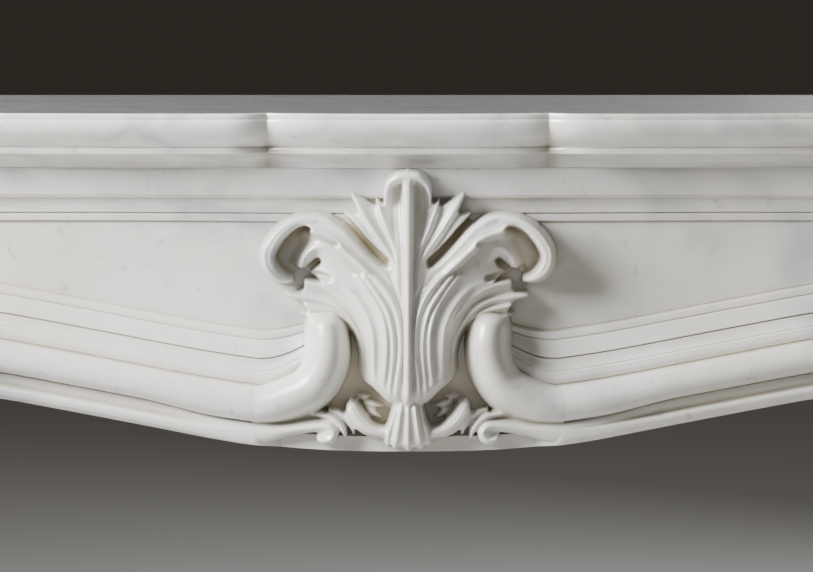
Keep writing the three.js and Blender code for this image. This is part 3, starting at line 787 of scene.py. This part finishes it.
leafBody = {
    "drops": [0, 0, 0, 4.2, 3.4, 2.6, 1.6, 5.0, 4.0, 3.5],
    "ridges": [
        [(0, 407, 36), (0, 401, 42), (0, 380, 45.5), (0, 350, 47.5), (0, 320, 45.5), (0, 290, 40.5),
         (0, 270, 37)],
        [(4, 407, 36), (4.5, 401, 42), (5, 380, 45), (4.5, 350, 46.5), (4.5, 320, 44), (5.5, 290, 39.5),
         (6, 270, 36)],
        [(7.5, 407, 35), (8, 401, 41.5), (7.5, 380, 46), (5.8, 350, 47.3), (6, 330, 45.3), (9, 308, 41.5),
         (16, 288, 37), (24, 278, 34.5), (32, 268, 34)],
        [(11, 405.5, 36), (11.5, 400, 42.5), (10.5, 381, 49), (7.3, 355, 51), (7.6, 332, 49.5),
         (12, 310, 46), (22.5, 290, 42), (30.5, 280, 40), (40, 271, 36)],
        [(19.5, 403, 34), (19, 397.5, 41.5), (17, 378, 47.5), (15, 350, 50), (16.5, 328, 48.5),
         (22, 309, 45.5), (32, 293, 41.5), (38.5, 284, 39), (45, 275, 36.5)],
        [(26, 397.5, 33), (25.2, 391.5, 41), (23, 374, 46.5), (21, 350, 49), (22, 330, 47.5),
         (27, 312, 43.5), (36, 296, 39.5), (46, 282, 36), (52, 275, 33)],
        [(36.5, 387, 31), (36.3, 381.5, 38), (36, 366, 43), (36, 348, 45), (38, 328, 43), (44, 312, 39),
         (53, 298, 35), (63, 287.5, 31), (80, 280.5, 27)],
        [(41, 384, 24), (41.5, 364, 28), (42, 346, 31), (46, 326, 33.5), (53, 311, 33.5), (62, 301.5, 31),
         (76, 292, 28), (92, 285, 26.5), (106, 280.5, 24)],
        [(45, 380, 20), (46, 356, 24), (49, 337, 28.5), (56, 323, 30), (64, 313, 29.5), (74, 305, 28),
         (90, 299.5, 25), (105, 297.5, 24.5), (121.5, 295.5, 23)],
        [(48, 374, 16), (49, 350, 20), (53, 333, 24), (61, 321.5, 26), (73, 313, 26.5), (90, 308.5, 26),
         (104, 306, 25)],
        [(50, 368, 8), (51, 348, 10), (56, 333, 14), (66, 321.5, 18), (80, 318, 23), (96, 318, 23),
         (107, 314.5, 20)],
    ],
}

upperTips = [
    [(0, 300, 40), (0, 262, 35), (0, 240, 33), (0, 222, 29), (0, 205, 25), (0, 178, 25)],
    [(4.5, 298, 40), (5, 262, 34.5), (5.5, 240, 32.5), (6, 222, 28), (6.5, 205, 23.5), (7, 178, 24)],
    [(8, 296, 41), (9.5, 262, 36), (11, 245, 34), (14.5, 228, 29), (16.5, 213, 23.5), (16, 200, 21.5),
     (14.5, 178, 23)],
    [(8, 294, 41.5), (10, 263, 36.8), (12, 247, 33.6), (16.4, 232, 30.5), (20.7, 218, 28), (23, 209, 26),
     (24.3, 203, 24)],
    [(9, 292, 41), (10.7, 264, 37), (13.5, 248, 35.5), (18.3, 235, 34.5), (23, 222, 33.5), (27, 211, 32),
     (31.5, 200, 28)],
    [(10, 290, 40.5), (12, 265, 36), (16, 251, 32), (22.3, 239, 30), (28, 227.5, 29), (32, 216, 27),
     (33.5, 206, 24)],
    [(11, 288, 40), (13.4, 266, 36.3), (18.8, 253, 35), (26.5, 241, 34.3), (34.5, 230, 33.3),
     (42.5, 217.5, 31.5), (50, 205, 28), (56.2, 193.3, 24)],
    [(12, 286, 39.5), (15, 267, 35), (21.5, 255.5, 31.5), (30.5, 244.5, 29.5), (39, 232.5, 28.5),
     (46, 221, 27.5), (50.5, 213.2, 25)],
    [(13, 284, 39), (16.5, 268, 35.3), (23.5, 257.5, 33.5), (33, 247.5, 32.5), (42.5, 236.5, 31),
     (52, 225, 29), (61.7, 213, 24)],
    [(14, 282, 38.3), (18, 269, 33), (25.5, 259.8, 28), (35, 250, 25), (45, 239, 23), (55, 226.8, 21),
     (63.5, 214.5, 16)],
]

underFold = [(22, 274, 32), (34, 265, 29), (46, 255, 27), (58, 243, 26), (68, 235.5, 25), (79, 231, 24),
             (89, 229, 21), (96, 227, 14), (103, 225.5, 5), (112, 224, 5), (120, 218, 8)]

fold = [
    [(12, 300, 36), (15, 280, 33), (19.5, 270.5, 30), (27, 264, 27), (35, 256.5, 25), (44, 246.5, 24),
     (52, 237.5, 25), (60, 229, 25), (68, 222.5, 25), (78, 216, 23), (88, 213.3, 22), (98, 212.8, 21),
     (107, 214.5, 21), (114, 216.5, 20)],
    [(14, 300, 39), (17.5, 282, 37), (22.5, 272.5, 35.5), (30, 265.5, 35), (38, 258, 35), (46.5, 249, 35),
     (55, 240, 34.8), (63, 231.5, 34.2), (70.5, 225.3, 32.5), (80, 219.2, 32), (89, 216.7, 31),
     (98, 216.2, 30), (107, 217.7, 29), (114, 219.7, 28)],
    [(17, 299, 38.3), (21, 285, 36.4), (28, 275.5, 35.3), (36, 267.5, 35.3), (45, 258.3, 35.8),
     (55, 248.3, 36),
     (64, 238.7, 35.5), (72, 232.2, 34.5), (81, 227.2, 33), (90, 224.2, 32), (98, 222.7, 31),
     (106, 222.7, 30), (113, 224.7, 29)],
    [(20, 300, 41.5), (25.5, 289, 40.8), (33, 279.5, 39.5), (41, 271, 38.8), (50, 262.8, 38.6),
     (58.5, 254.8, 38.4),
     (66, 246.8, 38), (73.5, 239.2, 37), (81, 235.2, 36.5), (89, 232.2, 36), (94.5, 230.2, 36),
     (99, 226.7, 34.5), (105, 225.2, 33), (112, 227.2, 31)],
]
foldEdge = {
    "upper": [(38.5, 273, 39.5), (43, 269, 40), (50, 262.5, 39.5), (58.5, 254.5, 39), (66, 246.5, 39),
              (73, 239.5, 38), (81, 235, 37),
              (89, 232, 37), (94.5, 229.5, 36.5), (99, 226.5, 35)],
    "lower": [(37.4, 274.6, 37.5), (41.5, 273.4, 36), (47, 270.4, 34.5), (55, 264.2, 33.5),
              (60.5, 258.6, 33.5), (66.3, 253.4, 34.5),
              (70, 249, 36), (67.6, 243, 38), (77, 241, 33), (85, 238.6, 32), (92.5, 237, 32.5),
              (97.6, 232.8, 34.5), (96.6, 228, 34.5)],
}

curl = [
    [(90, 212.5, 16), (102, 212.6, 16), (114, 215, 16), (122, 218.6, 16), (129.5, 223.5, 16),
     (137, 230.5, 15), (143.7, 239.4, 14), (148.2, 249.5, 14),
     (148.8, 260, 14), (146, 269.3, 14), (140.5, 277, 14), (131.5, 282.6, 14), (122, 283.6, 13),
     (114, 281.6, 10)],
    [(91, 216, 29), (102, 215.6, 30), (113, 217.8, 31), (120.5, 221.5, 32), (127.5, 226.3, 32.5),
     (134.5, 233, 33), (140.7, 241.5, 33.5), (144.8, 250.7, 34),
     (145.2, 260, 34), (142.6, 268.3, 33), (137.6, 274.9, 31), (130, 280, 28), (122, 281.4, 25),
     (115, 280, 18)],
    [(92, 221, 32.2), (102, 220, 32.6), (112.5, 222, 33.3), (119.5, 225.8, 33.8), (125.8, 230.8, 34.3),
     (132, 237.5, 34.7), (137, 245, 35), (140.2, 252.5, 35.2),
     (140.5, 260.3, 34.9), (138.3, 267, 33.4), (134, 272.8, 31.4), (128.3, 277.3, 28.8), (121.5, 279, 25),
     (115.3, 278.3, 18)],
    [(94, 225.5, 31), (102.5, 224, 32), (111.5, 226, 32.5), (118, 229.6, 33.5), (123.8, 235, 34),
     (129.3, 241.5, 34.5), (133.3, 248, 35), (136, 254.5, 35),
     (136, 260.7, 34.5), (133.8, 266.3, 33), (129.6, 271.6, 30.5), (125.3, 275, 28), (120.3, 276.8, 24),
     (115.3, 276.6, 17)],
    [(96, 228, 27), (103, 226.3, 27.5), (111, 228.6, 28), (117, 232.6, 28), (122.3, 238, 28),
     (127.5, 244.3, 28), (131.3, 250.2, 28), (133.8, 255.8, 28),
     (133.5, 261, 27), (131, 265.8, 25), (127, 270.2, 22), (123.3, 273.3, 20), (119, 275, 17),
     (114.6, 275.2, 13)],
]

blade = [
    [(36, 276, 33), (48, 270, 30), (60, 259, 28.5), (70, 250, 28), (79, 242.5, 27), (88, 238.5, 25.5),
     (95, 236, 23.5), (101, 233, 15), (108, 231, 5), (116, 231, 3), (126, 224, 6)],
    [(43, 285, 34), (56, 272, 31), (66, 262, 30), (77, 252, 28.5), (86, 245, 27), (93, 242, 24),
     (99.5, 240.5, 17), (106, 240, 7), (114, 241, 3), (124, 242, 3), (134, 235, 8)],
    [(52, 289, 32), (62, 278, 30), (72, 267.5, 28.5), (81, 258, 27), (88, 250.5, 26.5), (94, 248, 27),
     (99.5, 248.5, 24), (106, 249, 12), (113, 250, 4), (122, 252, 3), (132, 251.5, 7), (142, 248, 12)],
    [(60, 290, 30), (68, 281, 29), (77, 272.5, 26.5), (85, 263.5, 23), (91, 257, 20.5),
     (96.5, 254.5, 22.5), (101.5, 254.5, 26), (105.5, 256, 22), (111, 258, 10), (117, 259, 4),
     (127, 262, 5), (134, 263, 10), (143, 264, 14)],
    [(66, 290, 29), (75, 283, 28), (85, 275, 24.5), (92, 267.5, 20), (97, 262, 17.5), (101, 260, 20),
     (104.5, 260.5, 25), (107.5, 262.5, 22), (111.5, 265, 12), (116, 267, 6), (125, 270, 9),
     (136, 276, 13)],
    [(74, 288, 28), (83, 283, 27), (92, 278, 24), (99, 273, 18), (102.5, 270, 16), (105, 268.5, 19),
     (107.5, 268.5, 20), (110, 270, 14), (114, 273, 8), (119, 275, 11), (128, 283, 13)],
]

eyeCuts = [
    ([(109, 284, 2), (108.5, 277, 2), (110.5, 272, 2), (114, 268.8, 2)], [4.8, 4.4, 4.6, 3.6]),
    ([(107, 273.5, 3), (99, 267.5, 4), (90.2, 260.2, 5)], [2.6, 2.4, 2.5]),
    ([(106, 275, 6), (92, 274, 13), (80, 277.4, 18)], [2.8, 2.5, 2.4]),
]

slitFloor = ([(18, 264, 21), (23, 260, 19), (32, 252, 15), (44, 240, 12), (55, 228, 9), (63, 220, 5)],
             [7, 7, 7, 7, 6, 4])
slitCut = ([(22.8, 260.8, 19), (32, 252, 16), (44, 240, 13), (55, 227.5, 9), (66, 217.5, 4),
            (80, 206, -4)], [3.2, 3.3, 3.6, 3.9, 4.5, 9.0])

midrib = ([(0, 406, 42), (0, 401, 48), (0, 380, 52.5), (0, 350, 54), (0, 320, 52), (0, 290, 47.5),
           (0, 250, 43), (0, 210, 40), (0, 180, 38.5)],
          [4.6, 4.8, 4.2, 4.0, 4.4, 5.0, 5.4, 5.6, 5.8])

hood = ([(22.2, 204, 27), (21.8, 194, 32), (18, 183.5, 36), (10, 178, 38), (0, 177, 38.5)],
        [1.6, 2.6, 4.4, 6.4, 7.0])

roll = {
    "line": [(166, 401.4, 38.0), (156, 403, 38.1), (146, 403.4, 38.7), (135, 402, 39.7),
             (124, 399.2, 40.5), (113, 395.5, 41.4), (97, 387, 43), (87, 374, 44.5),
             (81.5, 358, 45), (80.5, 343, 44.5), (82, 331, 42.5), (83.2, 323, 39.5), (83.6, 318, 34),
             (83.8, 315, 28), (84, 313.5, 20)],
    "widths": [18.4, 18.4, 18.8, 20.2, 22, 23.6, 24.4, 24.8, 24.8, 24.7, 24.5, 24.1, 23.5, 22.6, 21, 17],
}

scroll = [
    ([(150, 421.5, 19), (128, 423.5, 19), (108, 422, 18.5), (92, 418.5, 18), (83, 414, 15)],
     [5, 5.5, 5.5, 5, 3.5], 0.95),
    ([(89, 431, 24), (85, 433, 29), (80, 434, 33), (77, 434.5, 33)], [5, 9, 10, 8], 0.8),
    ([(167, 432.2, 28.2), (154, 433.3, 28.4), (136, 432.7, 28.6), (118, 430.3, 29.4), (102, 428, 31),
      (88, 426.8, 33), (79, 427.5, 34.5), (74.7, 433, 35), (77, 439, 35), (83, 441, 34.5),
      (88, 438.8, 33), (90.5, 435.2, 29)],
     [11.8, 11.7, 11.2, 10.1, 8.7, 7.2, 6.2, 5.9, 5.7, 5.6, 5.6, 5.6, 5.5, 5.3, 4.4, 2.4], 0.7),
    ([(104, 413, 22), (88, 414.5, 25), (77, 417.5, 29), (69, 424, 31), (64, 431.5, 31), (62, 439.5, 26)],
     [2, 2.8, 3.3, 3.6, 3.6, 1.6], 0.7),
    ([(80, 409.5, 22), (70, 412.5, 26), (62, 418.5, 28), (56.5, 426, 28), (53.5, 435, 22)],
     [1.6, 2.8, 3.2, 3, 1.2], 0.7),
]

leaflet = {
    "drops": [0.4, 0.8, 1.4, 0.5],
    "ridges": [
        [(58.5, 399, 20), (62, 406, 24), (62.5, 414, 25), (59, 422, 26), (51, 430.5, 27), (40, 437, 28),
         (29, 438.5, 28), (18, 441, 28)],
        [(58.5, 399, 24), (60, 405, 31), (59, 413, 34), (54, 422, 35), (46, 429, 35), (37, 433.5, 35),
         (28, 435.5, 35), (18, 437, 35)],
        [(58, 399, 25), (56.5, 405, 32), (54, 413, 35), (49, 420.5, 36), (43, 426, 36), (36, 430, 36),
         (28, 432.5, 36), (18, 433, 36)],
        [(57.5, 399, 25), (53.5, 403.5, 31), (50, 410, 34), (45.5, 416.5, 35), (40, 421.5, 35),
         (34, 426, 35), (26.5, 429, 35), (18, 429, 35)],
        [(57, 399, 20), (52, 402.5, 24), (47.5, 409, 26), (43.5, 415, 27), (38.5, 420, 27),
         (33, 424.5, 27), (25.5, 427, 28), (18, 426, 28)],
    ],
}

shell = {
    "drops": [3.2, 3.6, 3.4],
    "ridges": [
        [(0, 401, 40), (0, 407, 43), (0, 420, 44.5), (0, 438, 43), (0, 448, 39), (0, 453, 31)],
        [(7, 401, 40), (7.3, 407, 43), (9, 420, 44), (11.5, 436, 42), (13, 445, 38), (14, 450, 30)],
        [(13.5, 401, 36), (14, 407, 39), (16.5, 420, 40), (20, 432, 39), (21.5, 441, 35),
         (21.5, 447.5, 28)],
        [(15.5, 402, 26), (16, 407, 28), (19, 420, 31), (23.5, 431, 31), (25, 438, 28), (25, 444, 22)],
    ],
}

recessLeaves = [
    ([(52, 396, 10), (44, 396, 17), (37, 395.5, 17)], [3.5, 3.4, 0.6], 0.6),
    ([(46, 401, 10), (36, 404, 18), (23.5, 405.5, 18)], [4.5, 4, 0.5], 0.6),
    ([(44, 407, 10), (36, 411.5, 18), (25.5, 418, 18)], [4.5, 4.2, 0.5], 0.6),
]


def carvedHeights():
    # every leaf is joined on in turn, and the cuts between them are sunk, on the right half
    high = np.full((rows, cols), carving["buried"])

    def add(surface, k=0.8):
        nonlocal high
        high = joinedHigh(high, spread(onFace(surface)), k)

    def cut(line, widths):
        # a groove with round ends
        nonlocal high
        samples = [banded(line, widths, flatAcross, fine=60, long=500).reshape(-1, 3)]
        for (across, down, depth), width in ((line[0], widths[0]), (line[-1], widths[-1])):
            r, turn = np.meshgrid(np.linspace(0, width, 30), np.linspace(0, 2 * np.pi, 120))
            disc = [across + r * np.cos(turn), down + r * np.sin(turn), np.full_like(r, depth)]
            samples.append(np.stack(disc, axis=-1).reshape(-1, 3))
        floor = spread(onFace(np.concatenate(samples)))
        high = np.where(floor > carving["buried"], np.minimum(high, floor), high)

    add(draped([underFold] + blade), carving["blend"])
    add(draped(upperTips, fine=520))
    add(banded(*slitFloor, flatAcross))
    cut(*slitCut)
    add(banded(*hood, roundAcross(0.72), fine=110), carving["blend"])
    body = fluted(leafBody["ridges"], leafBody["drops"], notch=0.94, fine=30, shallow=0.25)
    add(body, carving["blend"])
    add(draped(fold))
    add(edgeStrip(foldEdge["upper"], foldEdge["lower"], 1.6))
    add(draped(curl, fine=260))
    add(banded(*midrib, lambda k, t: 0.78 + 0.22 * (1 - np.abs(k)**3)**0.5, fine=80))
    for line, widths in eyeCuts:
        cut(line, widths)
    add(rollSurface(roll["line"], roll["widths"]))
    for line, widths, low in recessLeaves + scroll:
        add(banded(line, widths, roundAcross(low), fine=90), 0.6)
    add(fluted(leaflet["ridges"], leaflet["drops"], fine=24))
    add(fluted(shell["ridges"], shell["drops"], notch=0.93, fine=30))
    high = blurred(high, carving["soften"] / carving["cell"])
    return (high[0::2, 0::2] + high[1::2, 0::2] + high[0::2, 1::2] + high[1::2, 1::2]) / 4


def mirrored(a):
    return np.concatenate([a[:, ::-1], a], axis=1)


def makeKeystone():
    # the heights are raised from the bowed face on a grid, kept where they stand out of the slab
    high = carvedHeights()
    step = carving["cell"] * 2
    ground = np.maximum(high, frieze["recess"])
    # painted shade: how far the carving sinks below its blurred surroundings
    hollow = sum(amount * np.clip((blurred(ground, width / step) - ground) / depth, 0, 1)
                 for amount, width, depth in carving["shadeHollows"])
    high, hollow = mirrored(np.minimum(high, carving["highest"])), mirrored(hollow)
    across = (np.arange(high.shape[1]) - high.shape[1] / 2 + 0.5) * step
    up = (np.arange(high.shape[0]) + 0.5) * step - carving["below"]
    u, v = np.meshgrid(across, up)
    points = np.stack([u, panelY - bowAt(u) - high, mantel["openingHeight"] + v], axis=-1).reshape(-1, 3)
    corner = gridQuads(*high.shape)
    quads = corner[(high.ravel()[corner] > carving["rimAt"]).any(axis=1)]
    used, quads = np.unique(quads, return_inverse=True)
    quads, front, size = quads.reshape(-1, 4), points[used], len(used)
    # the rim of the relief runs straight back into the slab: an edge is on it where no face has
    # the same edge the other way round
    pairs = np.stack([quads, np.roll(quads, -1, axis=1)], axis=-1).reshape(-1, 2)
    rim = pairs[~np.isin(pairs[:, 1] * size + pairs[:, 0], pairs[:, 0] * size + pairs[:, 1])]
    rimPoints, rimAt = np.unique(rim, return_inverse=True)
    rimAt = rimAt.reshape(-1, 2) + size
    walls = np.stack([rim[:, 1], rim[:, 0], rimAt[:, 0], rimAt[:, 1]], axis=1)
    behind = front[rimPoints] * [1, 0, 1] + [0, slabBackY - carving["rimShort"], 0]
    piece = meshFrom("keystoneCarving", np.vstack([front, behind]), np.vstack([quads, walls]))
    closeBack(piece.data)
    setPaintedShade(piece, np.concatenate([hollow.ravel()[used], np.zeros(len(behind))]))
    print("keystone triangles", 2 * (len(quads) + len(walls)) + len(behind))
    return piece


def closeBack(mesh):
    # the rims' open ends are filled, and every face is turned outwards
    shape = bmesh.new()
    shape.from_mesh(mesh)
    shape.edges.ensure_lookup_table()
    bmesh.ops.triangle_fill(shape, edges=[e for e in shape.edges if e.is_boundary], use_beauty=True)
    bmesh.ops.recalc_face_normals(shape, faces=shape.faces)
    shape.to_mesh(mesh)
    shape.free()
    shadeSmooth(mesh)


finishPiece(makeKeystone(), keystoneMarble, "frieze")
print("keystone carved")


# Jambs

jamb = {
    "footHeight": 130.0,
    "coreInset": 49.0,           # the plain core's edge, from the opening
    "bandInset": 23.0,           # the same, from the outer edge
}


def sweptStrip(path, inward, profile):
    # carries (distance in, raise) along a path on the face, closed at the slab's back
    width, behind = profile[-1, 0], -mantel["slabThickness"]
    outline = np.concatenate([[[0, behind]], profile, [[width, behind]]])
    rings = np.empty((len(path), len(outline), 3))
    rings[..., 0] = path[:, 0][:, None] + inward[:, 0][:, None] * outline[:, 0][None]
    rings[..., 1] = panelY - outline[:, 1][None]
    rings[..., 2] = path[:, 1][:, None] + inward[:, 1][:, None] * outline[:, 0][None]
    return rings


def makeJamb(side):
    # the opening's moulding round its corner and down, the frame round the outer corner and down,
    # and a plain slab from one to the other
    half, outer = mantel["openingWidth"] / 2, mantel["surroundWidth"] / 2
    radius, inset = frieze["cornerRadius"], jamb["bandInset"]
    bottom = jamb["footHeight"] + mantel["gap"]
    start = jointX + mantel["gap"] / 2
    peak = mantel["openingHeight"] + edgeRise(np.array(jointX))
    a = np.linspace(0, np.pi / 2, 40)
    turn = np.stack([jointX + radius * np.sin(a), peak - radius * (1 - np.cos(a))], axis=1)
    turn[0, 0] = start
    edge = np.vstack([turn, [[half, bottom]]])
    inward = np.vstack([np.stack([np.sin(a), np.cos(a)], axis=1), [[1, 0]]])
    members, rim = openingMoulding()[:-2], outerFrame()[:-2]
    moulding = sweptStrip(edge, inward, members)
    band = sweptStrip(np.array([[start, friezeTop], [outer, friezeTop], [outer, bottom]]),
                      np.array([[0, -1.0], [-1, -1], [-1, 0]]), rim)
    core = np.vstack([edge + inward * jamb["coreInset"],
                      [[outer - inset, bottom], [outer - inset, friezeTop - inset],
                       [start, friezeTop - inset]]])
    slab = np.stack([np.insert(core, 1, y, axis=1) for y in (panelY, slabBackY)])
    piece = loftPiece("jamb" + sideNames[side], *(rings * [side, 1, 1] for rings in (moulding, band, slab)))
    # painted shade in the quirks and hollows of both mouldings
    jambShade = [np.tile(np.concatenate([[0], mouldingShade(profile), [0]]), len(path))
            for profile, path in ((members, moulding), (rim, band))]
    setPaintedShade(piece, np.concatenate([*jambShade, np.zeros(slab.size // 3)]))
    finishPiece(piece, jambMarble, "jamb_" + sideNames[side].lower())


for side in sideNames:
    makeJamb(side)
print("jambs made")


# Feet, returns and reveals

foot = {"projection": 10.0, "chamfer": 10.0, "rounding": 3.0, "eased": 0.8}
upright = {"returnThickness": 25.0, "revealThickness": 22.0, "edge": 1.2}


def makeFoot(side):
    # a block's outline, shrunk at each level towards the middle of its back: eased edges, a hollow
    # of a quarter circle and a lip under the slab
    out, c, r, e = (foot[key] for key in ("projection", "chamfer", "rounding", "eased"))
    h = jamb["footHeight"]
    x0, x1 = mantel["openingWidth"] / 2 - out, mantel["surroundWidth"] / 2 + out
    y0 = panelY - frieze["rollCrest"] - out
    a = np.linspace(0, np.pi / 2, 10)
    hollow = np.stack([h - 2 * c * (1 - np.sin(a)) - 0.2 * c, 0.2 * c + 0.7 * c * (1 - np.cos(a))], axis=1)
    base = [[0, e], [e, 0], [h - 2.4 * c - e, 0], [h - 2.4 * c, e], [h - 2.35 * c, 0.2 * c]]
    levels = np.concatenate([base, hollow, [[h - 0.1 * c, 0.95 * c], [h, 1.1 * c]]])
    turns = []
    for x, first in ((x0 + r, np.pi), (x1 - r, 1.5 * np.pi)):
        t = first + np.linspace(0, np.pi / 2, 7)
        turns.append(np.stack([x + r * np.cos(t), y0 + r + r * np.sin(t)], axis=1))
    outline = np.vstack([*turns, [[x1, wallY], [x0, wallY]]])
    middle = np.array([(x0 + x1) / 2, wallY])
    span = np.array([(x1 - x0) / 2, wallY - y0])
    shrink = 1 - levels[:, 1][:, None] / span[None]
    rings = np.empty((len(levels), len(outline), 3))
    rings[..., :2] = middle + (outline[None] - middle) * shrink[:, None, :]
    rings[..., 2] = levels[:, 0][:, None]
    piece = loftPiece("foot" + sideNames[side], rings * [side, 1, 1])
    finishPiece(piece, blockMarble, "foot_" + sideNames[side].lower())


def makeUpright(kind, side, x0, x1):
    # a plain slab with eased edges
    y0, y1, e = slabBackY + mantel["gap"], wallY, upright["edge"]
    outline = np.array([[x0 + e, y0], [x1 - e, y0], [x1, y0 + e], [x1, y1 - e],
                        [x1 - e, y1], [x0 + e, y1], [x0, y1 - e], [x0, y0 + e]])
    heights = (jamb["footHeight"] + mantel["gap"], friezeTop)
    rings = np.stack([np.column_stack([outline, np.full(len(outline), z)]) for z in heights])
    piece = loftPiece(kind + sideNames[side], rings * [side, 1, 1])
    finishPiece(piece, blockMarble, kind + "_" + sideNames[side].lower())


for side in sideNames:
    outer, inner = mantel["surroundWidth"] / 2, mantel["openingWidth"] / 2
    makeFoot(side)
    makeUpright("return", side, outer - upright["returnThickness"], outer)
    makeUpright("reveal", side, inner, inner + upright["revealThickness"])
print("feet, returns and reveals made")


# Floor, light and camera, in metres

studio = {
    "floorColour": (0.52, 0.51, 0.5, 1),
    "worldColour": (0.65, 0.58, 0.46, 1),
    "worldStrength": 0.08,
    "sensorWidth": 36.0,
}
# place, where it points, size and watts
lamps = {
    "keyLight": ((-1.85, -1.05, 2.0), (0, -0.1, 0.95), 1.25, 200.0),
    "fillLight": ((0.2, -3.4, 1.9), (0, -0.1, 0.9), 2.0, 8.0),
    "backLight": ((1.7, 2.6, 2.3), (0, 0, 0.8), 2.2, 75.0),
}


def makeFloor():
    # a disc of 200 m radius
    r, a = np.meshgrid([0.001, 200000.0], np.linspace(0, 2 * np.pi, 65)[:-1], indexing="ij")
    points = np.stack([r * np.cos(a), r * np.sin(a), np.zeros_like(r)], axis=-1).reshape(-1, 3)
    floor = meshFrom("floor", points, gridQuads(*r.shape, around=True)[:, ::-1])
    material = bpy.data.materials.new("paleFloor")
    material.use_nodes = True
    shader = material.node_tree.nodes["Principled BSDF"]
    shader.inputs["Base Color"].default_value = studio["floorColour"]
    shader.inputs["Roughness"].default_value = 0.9
    floor.data.materials.append(material)


def addLamp(name, place, target, size, watts):
    light = bpy.data.lights.new(name, "AREA")
    light.shape = "DISK"
    light.size = size
    light.energy = watts
    lamp = bpy.data.objects.new(name, light)
    lamp.location = place
    lamp.rotation_euler = (Vector(target) - Vector(place)).to_track_quat("-Z", "Y").to_euler()
    lamp.visible_camera = False
    bpy.context.scene.collection.objects.link(lamp)


makeFloor()
for name, setting in lamps.items():
    addLamp(name, *setting)
world = bpy.data.worlds.new("studioWorld")
world.use_nodes = True
world.node_tree.nodes["Background"].inputs["Color"].default_value = studio["worldColour"]
world.node_tree.nodes["Background"].inputs["Strength"].default_value = studio["worldStrength"]
bpy.context.scene.world = world

camera = bpy.data.cameras.new("camera")
camera.sensor_width = studio["sensorWidth"]
camera.lens = view["focal"] / view["width"] * studio["sensorWidth"]
camera.clip_end = 500.0
cameraObject = bpy.data.objects.new("camera", camera)
cameraPlace = (view["sideways"], frontY - view["distance"], view["height"])
cameraObject.location = [place / 1000 for place in cameraPlace]
cameraObject.rotation_euler = (math.radians(90 - view["lookDown"]), 0, 0)
bpy.context.scene.collection.objects.link(cameraObject)
bpy.context.scene.camera = cameraObject
print("studio made")
